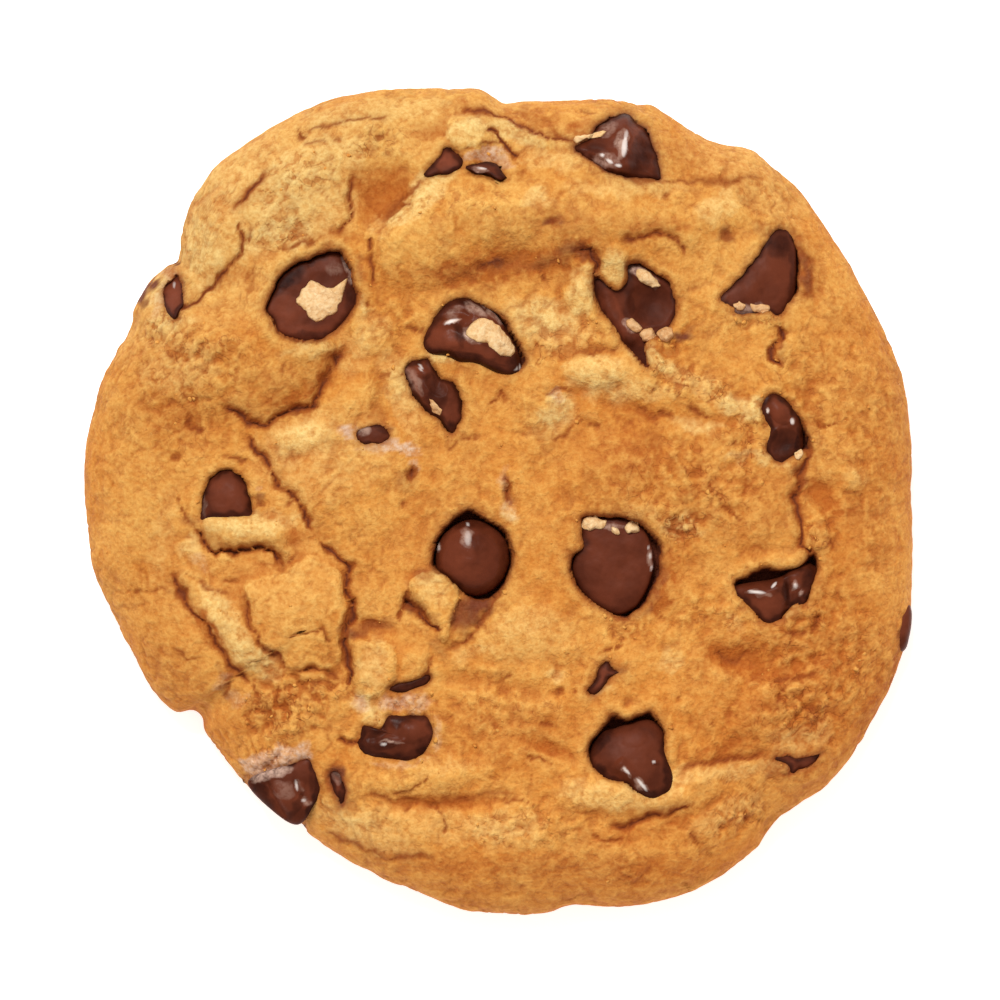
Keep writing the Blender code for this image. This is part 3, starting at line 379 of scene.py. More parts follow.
# colour spots: middle, half length, half width, turn, strength
paleSpots = [
    (-36.0, 15.0, 5.0, 3.0, 10, 0.35), (-29.0, -4.0, 4.0, 1.2, 0, 0.2),
    (-30.0, 35.0, 9.0, 8.0, 30, 0.22), (28.0, 37.0, 9.0, 3.5, -36, 0.22), (6.6, 19.4, 4.6, 3.4, -20, 0.5), (-27.0, -18.0, 3.0, 1.8, -40, 0.5), (-16.0, -37.0, 8.0, 2.2, -24, 0.4),
    (34.0, -26.8, 4.0, 1.4, 8, 0.35), (11.6, 12.4, 3.4, 1.6, -24, 0.4), (-11.0, 14.0, 2.0, 4.0, 40, 0.4), (-25.0, 29.4, 5.0, 1.6, 10, 0.4), (20.0, -2.6, 2.6, 1.0, 0, 0.4), (-12.6, 33.2, 1.6, 1.6, 0, 0.4),
    (9.0, 40.8, 3.0, 1.0, 6, 0.4), (-40.0, 20.0, 2.0, 6.0, -30, 0.2),
    (27.4, 10.6, 3.8, 1.5, -12, 0.6), (-26.4, -18.4, 2.6, 1.6, -40, 0.6), (7.2, 10.0, 2.4, 2.4, 0, 0.4), (-14.0, -23.8, 1.5, 1.9, 0, 0.8), (-7.2, -10.4, 2.0, 1.6, -30, 0.5),
    (-38.4, 24.0, 0.8, 2.4, -30, 0.5), (-36.4, 19.8, 3.0, 0.8, 10, 0.4), (33.0, -13.0, 2.0, 0.4, 36, 0.5), (-22.0, 13.0, 0.1, 0.1, 0, 0.1), (-16.4, 16.6, 2.4, 3.0, -20, 0.3),
    (-28.0, 33.0, 17.0, 11.0, 42, 0.26), (-20.0, 5.0, 9.0, 6.0, 20, 0.26), (-8.0, 42.0, 16.0, 4.0, 0, 0.16), (-28.0, -10.0, 12.0, 8.0, 0, 0.12),
    (4.5, 20.6, 4.6, 2.6, -14, 0.55), (6.8, 10.0, 2.8, 2.0, 40, 0.5), (14.0, 12.8, 6.4, 1.5, -8, 0.55), (-10.6, 10.6, 1.6, 4.2, 24, 0.5), (-6.2, 16.6, 1.6, 0.9, -10, 0.8),
    (20.6, -3.2, 2.6, 1.6, 0, 0.6), (26.0, -35.6, 5.0, 1.8, 26, 0.35), (-33.4, 27.6, 2.4, 4.6, 10, 0.45), (-24.6, 30.6, 3.6, 1.4, 4, 0.4), (-37.8, 20.4, 2.0, 1.0, 20, 0.5),
    (-22.4, 6.8, 4.6, 3.0, 24, 0.35), (-27.6, -19.2, 2.6, 1.0, -30, 0.4), (-6.0, -37.0, 12.0, 2.2, -8, 0.25), (-17.0, -36.6, 3.4, 1.6, -34, 0.3), (34.0, -27.6, 5.0, 2.0, 36, 0.25),
    (-28.6, -2.9, 5.0, 1.0, -6, 0.9), (3.0, -15.6, 6.0, 3.0, 10, 0.2), (1.0, -36.8, 5.0, 2.0, 0, 0.35), (22.0, 13.4, 4.0, 1.4, -20, 0.5), (-15.6, -23.0, 1.4, 1.4, 0, 0.6),
    (-8.5, 34.6, 5.4, 1.8, 44, 0.9), (-12.6, 31.6, 2.4, 1.4, 30, 0.6), (-22.0, 33.0, 6.0, 4.5, 20, 0.35), (-20.0, 38.4, 6.5, 2.6, 15, 0.4),
    (2.0, 41.4, 4.0, 1.3, -22, 0.8), (-3.6, 41.9, 2.6, 1.7, 0, 0.8), (6.0, 38.6, 4.0, 1.5, -10, 0.4), (4.8, 34.2, 2.0, 1.2, 0, 0.7), (24.8, 33.0, 2.6, 2.0, 20, 0.6),
    (9.4, 23.6, 2.1, 3.2, -8, 0.8), (13.2, 26.3, 1.5, 2.2, 0, 1.0), (14.5, 35.2, 8.0, 1.2, 0, 0.35), (28.0, 10.6, 2.8, 1.3, -15, 0.9), (28.6, 5.0, 3.6, 0.8, 4, 0.9),
    (17.6, 15.9, 3.2, 1.3, -30, 0.9), (11.0, 14.9, 3.8, 1.6, -4, 0.7), (22.8, 8.4, 3.2, 0.7, -6, 0.7), (6.9, 11.3, 1.2, 0.9, 0, 0.8), (6.0, 9.0, 3.6, 2.0, 30, 0.3),
    (-30.6, -14.0, 5.6, 1.9, -56, 0.7), (-28.0, -18.2, 2.6, 1.4, -40, 0.5), (-14.0, -18.8, 2.2, 3.4, 0, 0.55), (-35.0, -5.2, 1.6, 1.2, 0, 0.6),
    (-8.0, -9.0, 2.6, 0.9, 20, 0.6), (-25.0, -2.0, 4.5, 0.9, -6, 0.6), (13.0, -33.6, 7.0, 1.5, -6, 0.6), (20.0, -31.9, 2.2, 1.6, 50, 0.6), (-14.2, 19.4, 2.4, 2.2, 0, 0.35),
    (-21.0, 16.9, 4.0, 0.9, 6, 0.6), (-6.6, 16.3, 1.4, 0.7, -10, 0.8), (1.2, -1.5, 0.8, 0.8, 0, 0.8), (11.6, -21.9, 1.8, 0.7, 20, 0.6), (6.6, -19.9, 0.9, 0.7, 0, 0.7),
    (27.0, -13.8, 1.6, 0.8, -40, 0.4), (-37.0, 18.8, 3.0, 1.4, 20, 0.35), (26.6, -30.6, 6.0, 1.0, 6, 0.5), (19.6, -18.2, 1.6, 1.2, 40, 0.5), (-22.0, 7.6, 3.0, 1.4, 10, 0.4),
    (-3.0, -17.2, 3.0, 0.9, 14, 0.35), (3.0, -13.6, 4.0, 2.0, 10, 0.25), (-15.2, 22.0, 0.5, 1.2, 0, 0.8), (-14.0, 44.0, 9.0, 1.6, 5, 0.3), (-38.0, -4.0, 6.0, 1.6, 80, 0.2),
    (32.6, 3.6, 2.0, 0.7, -20, 0.5), (40.3, 2.6, 1.6, 1.0, 0, 0.3), (16.6, -1.4, 2.4, 1.2, 0, 0.3), (-6.0, -30.2, 4.0, 1.0, 14, 0.3), (15.0, 26.6, 2.0, 1.0, 0, 0.2),
]
# browner baked places, and painted shade below the broad mound above the middle and along the feet of folds
brownSpots = [
    (30.0, -24.0, 5.0, 3.4, 20, 0.22), (29.0, -1.0, 4.5, 4.5, 0, 0.16), (0.0, 26.2, 4.6, 1.0, 4, 0.4),
    (0.0, -45.0, 34.0, 6.0, 0, 0.26), (22.0, -40.0, 16.0, 6.0, 38, 0.16), (38.0, -27.0, 12.0, 8.0, 56, 0.22), (-36.0, -22.0, 10.0, 5.0, -50, 0.14),
    (34.0, 26.0, 1.0, 4.4, 8, 0.6), (1.0, -29.0, 10.0, 2.0, 0, 0.15), (33.6, -29.8, 3.2, 1.2, 10, 0.5), (12.4, -19.4, 2.4, 1.2, 40, 0.5), (-18.7, -31.0, 1.4, 2.6, 0, 0.8),
    (-19.0, 29.8, 3.6, 1.1, 0, 0.45), (-22.6, 11.2, 3.0, 1.2, 10, 0.5), (-2.6, -12.4, 2.2, 3.0, -28, 0.6), (18.6, -9.4, 1.4, 4.4, -14, 0.7), (9.8, 27.8, 2.2, 1.4, -20, 0.7),
    (-37.0, 26.2, 1.6, 0.9, 30, 0.4),
    (9.0, 32.0, 8.0, 2.6, -4, 0.35), (-14.8, 24.4, 1.1, 3.4, 0, 0.5), (18.8, -10.4, 1.8, 4.4, -20, 0.6), (-9.2, -4.4, 1.8, 6.0, 0, 0.35), (13.4, 6.0, 5.0, 3.6, 0, 0.38),
    (35.6, 26.4, 1.8, 4.6, 10, 0.5), (6.0, -4.6, 2.4, 5.0, 0, 0.2), (-9.6, -13.6, 2.6, 2.4, 0, 0.3), (0.4, 14.0, 2.0, 4.4, -20, 0.3), (28.4, 21.6, 2.8, 0.9, 0, 0.6),
    (33.0, -20.0, 14.0, 11.0, 30, 0.36), (40.0, 4.0, 8.0, 24.0, 0, 0.30), (22.0, 1.0, 13.0, 9.0, -8, 0.30), (4.0, -41.0, 30.0, 1.6, 0, 0.16),
    (-40.0, 4.0, 7.0, 20.0, 0, 0.16), (-32.0, 14.0, 12.0, 8.0, 14, 0.22), (0.5, 26.2, 8.0, 2.4, 6, 0.55), (-23.0, -23.0, 8.0, 5.0, 0, 0.25), (34.8, 25.4, 0.9, 3.0, 4, 0.9),
    (2.0, -26.0, 12.0, 5.0, 0, 0.15), (24.0, 38.0, 12.0, 5.0, -30, 0.12), (-38.0, -14.0, 10.0, 5.0, -56, 0.12),
    (-13.0, 34.8, 3.8, 3.2, 55, 0.55), (-7.8, 42.0, 2.8, 1.6, 0, 0.4), (4.6, 43.0, 5.0, 1.3, -14, 0.65), (-2.4, 44.4, 2.4, 0.7, -12, 0.7),
    (-24.0, 12.6, 6.0, 3.0, 20, 0.35), (-23.6, 11.4, 2.8, 0.8, 10, 0.9), (-19.6, 14.6, 3.6, 0.8, 58, 0.8), (-28.6, 9.4, 2.6, 0.6, -24, 0.8), (-36.5, 9.5, 3.2, 2.2, 0, 0.3),
    (-32.6, -14.4, 3.6, 0.9, -56, 0.8), (-36.0, -19.6, 5.0, 3.0, -50, 0.25), (-15.6, -14.4, 3.0, 1.0, 10, 0.6), (26.0, -18.2, 5.0, 2.0, -14, 0.55), (33.8, -19.4, 4.4, 1.0, 12, 0.5),
    (0.0, 26.2, 8.5, 1.6, 6, 0.65), (8.0, 28.0, 4.0, 1.8, 10, 0.7), (-8.0, 25.4, 6.0, 1.4, 0, 0.4), (18.0, 30.6, 4.6, 1.1, 0, 0.55), (22.0, 38.6, 8.0, 1.8, -24, 0.3),
    (12.0, 38.9, 4.0, 1.2, 60, 0.3), (9.6, 41.8, 1.6, 1.2, 0, 0.6), (4.0, 31.0, 9.0, 2.6, 0, 0.2), (37.4, 0.0, 3.2, 1.3, -30, 0.75), (34.2, 2.6, 3.4, 0.7, 84, 0.6), (31.4, 17.6, 1.8, 0.7, 80, 0.7),
    (16.8, 9.6, 3.0, 0.9, -8, 0.4), (0.0, -25.0, 9.0, 2.4, -4, 0.3), (4.0, -28.0, 5.0, 1.0, -12, 0.3), (-5.0, -34.2, 8.0, 1.0, 2, 0.4), (16.0, -37.6, 8.0, 1.4, 12, 0.5), (25.0, -28.4, 5.0, 0.9, 8, 0.6),
    (3.0, -41.2, 16.0, 1.4, 0, 0.25), (15.0, -43.0, 10.0, 1.6, 8, 0.3), (37.0, -31.0, 6.0, 0.8, 44, 0.25), (-27.0, -23.6, 4.0, 2.0, 20, 0.2), (-24.6, -23.0, 1.0, 2.6, 10, 0.4),
    (44.4, -20.0, 9.0, 1.8, 68, 0.4), (45.0, 8.0, 10.0, 1.8, 96, 0.3), (-22.0, -4.0, 2.2, 0.9, 0, 0.6), (-5.6, 10.0, 4.0, 4.0, 0, 0.2), (-5.0, 2.4, 5.0, 5.0, 0, 0.15),
    (22.0, 0.6, 2.4, 1.0, 10, 0.4), (7.0, 7.6, 3.0, 3.0, 0, 0.2), (30.0, -16.0, 5.0, 2.0, 0, 0.3), (41.0, -4.0, 5.0, 5.0, 0, 0.25), (33.0, -12.8, 2.0, 1.2, -30, 0.3), (13.8, -13.6, 2.0, 1.0, 0, 0.5),
    (-16.0, 36.6, 1.0, 3.0, 0, 0.5), (-33.0, 33.2, 3.0, 0.6, -24, 0.35), (-28.4, 34.4, 2.6, 0.9, 52, 0.5), (28.6, 30.0, 1.0, 1.0, 0, 0.2), (15.0, 3.6, 6.0, 4.0, 0, 0.15),
]
# chocolate smeared thinly over the dough, and painted shade under the broad mound above the middle
stainAndShadeSpots = [
    (34.3, 27.4, 0.6, 1.8, 14, 0.5), (34.9, 24.8, 0.7, 1.6, -6, 0.45), (32.6, 30.6, 1.6, 0.5, -14, 0.5), (-18.4, -30.7, 0.9, 0.8, 0, 0.5),
    (6.0, 31.7, 1.0, 0.45, 10, 0.8), (-0.8, 26.6, 1.6, 0.4, 6, 0.7), (-26.9, 0.2, 0.45, 0.6, 20, 0.75), (10.6, 27.2, 0.9, 0.6, -30, 0.6), (34.2, 6.0, 0.5, 1.4, 0, 0.4),
    (-40.3, 23.5, 0.7, 1.5, -38, 1.0), (-36.6, 26.8, 0.6, 0.4, 30, 1.0), (-35.1, 22.0, 0.7, 0.45, 40, 0.9), (46.3, -15.0, 0.7, 2.6, -10, 0.6), (9.8, 27.8, 1.5, 0.8, -24, 0.75),
    (11.2, 26.6, 0.6, 1.2, 20, 0.8), (-9.9, -12.0, 1.2, 0.7, -42, 0.9), (18.0, -9.8, 0.7, 3.2, -18, 0.5), (16.4, -12.6, 1.4, 0.7, 20, 0.5), (-3.2, -12.4, 1.6, 2.6, -28, 0.4),
    (20.8, 18.6, 0.8, 0.7, 0, 0.8), (0.9, 1.6, 0.6, 1.8, 8, 0.4),
    (0.0, 26.2, 8.0, 1.1, 6, 0.26), (6.2, 27.4, 3.0, 0.9, 24, 0.3), (6.2, 31.7, 1.2, 0.6, 10, 0.6), (-1.2, 26.4, 1.4, 0.4, 0, 0.6), (28.6, 21.5, 2.6, 0.8, 0, 0.5), (32.0, 17.0, 0.6, 1.6, 0, 0.3),
    (-39.9, 23.2, 0.7, 1.6, -30, 1.0), (-38.9, 24.9, 0.5, 0.7, -40, 0.9), (-36.2, 27.0, 0.7, 0.6, 0, 1.0), (-35.0, 22.2, 0.9, 0.4, 30, 0.7), (35.0, 25.6, 0.7, 2.4, 4, 0.4),
    (-18.4, -30.6, 1.0, 0.7, 0, 0.5),
    (-3.0, -12.6, 2.0, 3.2, -28, 0.55), (-1.6, -11.2, 1.8, 1.6, -30, 0.6), (-14.2, -14.3, 3.2, 0.8, 10, 0.5), (-17.0, -14.6, 0.7, 1.5, 0, 0.5), (-8.6, -12.4, 1.2, 2.2, 40, 0.35), (-6.8, -16.6, 1.0, 1.6, 20, 0.35),
    (-31.0, -20.8, 0.8, 2.4, 14, 0.45), (-30.6, -22.6, 1.6, 0.9, 30, 0.3), (26.0, 29.7, 1.6, 0.8, -20, 0.5), (34.4, 2.8, 0.6, 2.2, 0, 0.5), (-34.2, -2.6, 1.2, 1.0, 0, 0.35),
    (-15.6, 26.0, 0.9, 1.8, 0, 0.35), (1.0, 1.2, 0.8, 2.4, 6, 0.3), (-10.2, 2.2, 0.9, 1.8, -20, 0.3), (12.4, 27.6, 3.0, 1.4, 0, 0.15), (21.4, 18.8, 1.0, 0.8, 0, 0.6), (30.6, 30.4, 2.4, 0.8, -10, 0.35),
    (8.4, 28.4, 2.0, 1.2, 0, 0.45), (-12.8, 7.8, 0.7, 0.5, 0, 0.7), (-8.2, -8.4, 1.0, 0.7, 0, 0.4), (-3.0, 5.8, 1.6, 1.2, 30, 0.1), (33.6, -30.0, 3.4, 0.9, 10, 0.35), (-36.6, 26.2, 1.4, 0.5, 30, 0.3),
]
# greyish white, grainy film where chocolate and sugar have mixed
veilSpots = [
    (-26.2, -29.8, 3.0, 1.7, 12, 1.0), (-23.0, -28.8, 1.8, 1.1, 14, 0.8),
    (-25.2, -29.4, 3.6, 1.2, 14, 0.9), (-27.6, -30.6, 1.6, 0.9, -30, 0.7), (-22.2, -28.2, 1.6, 0.8, 0, 0.6), (-26.6, 1.2, 0.5, 0.5, 0, 0.5), (-31.0, -20.4, 1.4, 0.6, 40, 0.4), (6.8, 11.9, 0.9, 0.5, 20, 0.5),
    (-17.0, 7.6, 1.4, 1.0, 0, 0.7), (-11.0, 6.0, 2.2, 0.8, -14, 0.5), (-9.4, 4.0, 0.9, 0.6, 0, 0.6), (1.2, -1.0, 0.8, 0.8, 0, 0.4), (0.6, 2.2, 0.8, 1.4, 0, 0.4), (-11.0, -29.9, 3.6, 0.4, 4, 0.4), (-7.0, -26.4, 0.4, 2.0, 0, 0.4),
    (-25.4, -29.6, 3.2, 1.9, 14, 1.0), (-22.4, -28.6, 1.6, 0.9, 0, 0.6), (-10.6, -23.0, 3.4, 1.2, 6, 0.75), (-15.6, -23.2, 1.2, 0.8, -20, 0.6), (-11.0, 6.0, 2.6, 0.8, -14, 0.6), (-17.0, 7.6, 1.2, 0.9, 0, 0.5), (-14.0, 5.8, 2.0, 0.6, 0, 0.5),
    (-1.6, 39.0, 2.6, 1.0, 4, 0.8), (0.9, 38.2, 0.9, 1.0, 0, 0.5), (-38.2, 22.8, 1.0, 2.2, -20, 0.35), (7.0, 11.2, 0.9, 0.7, 0, 0.4), (-29.6, -22.6, 1.6, 0.8, 0, 0.3), (-33.4, -7.0, 1.6, 0.7, -30, 0.3), (-37.0, 25.6, 1.0, 0.6, 40, 0.3),
]
# crumbly places
crumbSpots = [
    (22.0, 2.0, 9.0, 6.0, 0, 0.6), (-34.0, 15.0, 8.0, 5.0, 14, 0.4), (36.0, -18.0, 8.0, 9.0, 0, 0.6),
    (-23.0, 36.0, 6.0, 3.0, 26, 0.5), (-24.0, 30.0, 4.6, 2.2, 0, 0.6), (38.0, 8.0, 6.0, 9.0, 0, 0.25), (-36.0, 8.0, 6.0, 5.0, 0, 0.25), (-24.0, -23.5, 5.2, 4.0, 10, 1.0), (22.0, 13.0, 6.0, 2.2, -18, 0.8), (18.0, 18.0, 3.0, 1.6, -30, 0.9), (28.5, 7.0, 3.4, 3.0, 0, 0.7),
    (28.5, 20.6, 3.4, 1.4, 0, 0.9), (21.0, -3.2, 3.0, 2.0, 0, 0.8), (30.0, 34.0, 4.0, 3.0, -30, 0.25), (6.0, 17.5, 4.0, 2.4, 10, 0.6), (14.0, -15.0, 3.0, 1.6, 10, 0.6), (-38.0, 19.6, 3.0, 1.8, 30, 0.7),
    (33.0, -24.5, 5.0, 3.0, 20, 0.6), (27.0, -36.0, 4.0, 2.6, 20, 0.6), (-14.0, 40.6, 4.0, 2.0, 10, 0.7), (-25.5, -29.4, 3.0, 1.8, 12, 1.0), (-10.6, -23.0, 3.2, 1.2, 6, 0.8), (-1.4, 39.1, 2.6, 1.0, 0, 0.9),
    (-33.0, 17.0, 5.0, 3.6, 0, 0.4), (24.0, -13.0, 5.0, 2.6, 0, 0.45), (0.0, -24.0, 8.0, 3.0, 0, 0.35), (2.0, -37.0, 7.0, 2.6, 0, 0.5), (8.0, -18.6, 3.6, 2.4, 0, 0.4), (36.5, -3.6, 2.6, 2.4, 0, 0.8), (-19.0, -21.5, 5.0, 1.6, 0, 0.7),
    (11.0, 19.0, 2.0, 2.6, 10, 0.6), (33.6, 13.6, 5.0, 5.0, 0, 0.3), (-11.0, 20.6, 3.0, 3.0, 0, 0.3), (-4.0, 33.4, 6.0, 2.4, 10, 0.3), (19.0, 37.2, 4.0, 2.0, -10, 0.1),
]


def spotSum(x, y, spots):
    return sum(np.sqrt(spot(x, y, *place[:5])) * place[5] for place in spots)


rimCurve = closedCurve(rimLine, 8)
rimTurn = np.arctan2(rimCurve[:, 1], rimCurve[:, 0])
rimOrder = np.argsort(rimTurn)


def rimRadius(angle):
    return np.interp(angle, rimTurn[rimOrder], np.hypot(*rimCurve[rimOrder].T), period=2 * math.pi)


def shoulder(share):
    return np.sqrt(np.clip(1 - np.clip(share, 0, 1) ** dough["fullness"], 0, 1))


# levels above the limit are pressed down below it
def capped(z, limit, soft=0.8):
    over = np.clip(z - limit + soft, 0, None)
    return z - over + soft * np.tanh(over / soft)


# where a point lies on the dough once the lines of folds and cracks have been made to stray
def strayed(x, y):
    flat = np.stack([x, y, np.zeros(x.shape)], 1)
    wx, wy = x.copy(), y.copy()
    for far, size in dough["wander"]:
        wx += 2 * far * noiseOf(flat, size, 7.3)
        wy += 2 * far * noiseOf(flat, size, 31.9)
    return wx, wy


def closeTo(x, y, line, margin):
    low, high = np.min(line, 0) - margin, np.max(line, 0) + margin
    return np.where((x > low[0]) & (x < high[0]) & (y > low[1]) & (y < high[1]))[0]


# points of the dough close to a fold or crack move onto it, so that it is crisp
def snapToLines(x, y, reach):
    wx, wy = strayed(x, y)
    for line in [fold[4] for fold in folds] + [crack[2] for crack in cracks]:
        near = closeTo(wx, wy, line, 1.0)
        gap, _, _, nearX, nearY = lineGap(wx[near], wy[near], openCurve(line))
        snap = np.abs(gap) < reach
        x[near[snap]] += (nearX - wx[near])[snap]
        y[near[snap]] += (nearY - wy[near])[snap]


# height of the crust without its chip openings, with the shade painted into its creases, cracks and holes
def crustHeight(x, y):
    waist, flat = dough["waistHeight"], np.stack([x, y, np.zeros(x.shape)], 1)
    top = np.full(x.shape, dough["domeHeight"])
    dark = np.zeros(x.shape)
    for cx, cy, halfLength, halfWidth, turn, rise in mounds:
        top += rise * spot(x, y, cx, cy, halfLength, halfWidth, turn) ** 1.4
    for rise, edge, outline in plates:
        near = closeTo(x, y, outline, 2.0)
        top[near] += rise * smooth(loopGap(x[near], y[near], closedCurve(outline))[0] / edge + 0.5)
    wx, wy = strayed(x, y)
    unevenWidth = 1 + 0.8 * noiseOf(flat, 2.2, 3.1)
    for rise, reach, depth, width, line in folds:
        near = closeTo(wx, wy, line, 4 * reach)
        gap, along, whole, _, _ = lineGap(wx[near], wy[near], openCurve(line))
        fade = smooth(np.minimum(along, whole - along) / 1.6)
        top[near] += dough["foldRise"] * fade * rise * smooth(gap / 1.1 + 0.12) * np.exp(-np.abs(gap) / reach)
        crease = fade * np.exp(-np.abs(gap / (0.42 * width * unevenWidth[near])) ** 1.5)
        top[near] -= 0.5 * depth * crease
        slope = fade * smooth(gap / 0.2 + 0.6) * np.exp(-np.abs(gap / 1.1) ** 1.5)  # painted shade at the foot of the raised side
        dark[near] = np.maximum(dark[near], np.maximum(crease * min(1, 0.35 + depth * 0.45), 0.22 * depth * slope))
    for depth, width, line in cracks:
        near = closeTo(wx, wy, line, 3.0)
        gap, along, whole, _, _ = lineGap(wx[near], wy[near], openCurve(line))
        fade = smooth(np.minimum(along, whole - along) / 0.7 + 0.25)
        crease = fade * np.exp(-np.abs(gap / (0.62 * width * unevenWidth[near])) ** 1.5)
        top[near] -= 0.6 * depth * crease
        dark[near] = np.maximum(dark[near], crease * min(1, 0.2 + depth * 0.6))
    for cx, cy, radius, depth in holes:
        pit = np.exp(-(np.hypot(wx - cx, wy - cy) / (0.75 * radius)) ** 2)
        top -= 0.7 * depth * pit
        dark = np.maximum(dark, pit * min(1, 0.8 * depth))
    share = np.hypot(x, y) / rimRadius(np.arctan2(y, x))
    height = waist + shoulder(share) * (top - waist)
    return capped(height, dough["highest"]), dark


def windowLoop(name):
    loop = closedCurve(windows[name][3], 4)
    ragged = np.array([[noise.noise(Vector((px / 0.9, py / 0.9, k))) for k in (2.5, 9.5)] for px, py in loop])
    return loop + ragged * 0.30


windowLoops = {name: windowLoop(name) for name in windows}


def doughLevel(x, y):
    return float(crustHeight(np.array([x, x]), np.array([y, y]))[0][0])


def addFloat(mesh, name, values):
    layer = mesh.attributes.new(name, "FLOAT", "POINT")
    layer.data.foreach_set("value", np.asarray(values, np.float32))


def meshPoints(mesh):
    co = np.empty(len(mesh.vertices) * 3, np.float32)
    mesh.vertices.foreach_get("co", co)
    return co.reshape(-1, 3).astype(float)


def vertexNormals(mesh):
    out = np.empty(len(mesh.vertices) * 3, np.float32)
    mesh.vertex_normals.foreach_get("vector", out)
    return out.reshape(-1, 3).astype(float)


def newPiece(name, mesh, material):
    piece = bpy.data.objects.new(name, mesh)
    scene.collection.objects.link(piece)
    mesh.materials.append(material)
    mesh.shade_smooth()
    return piece


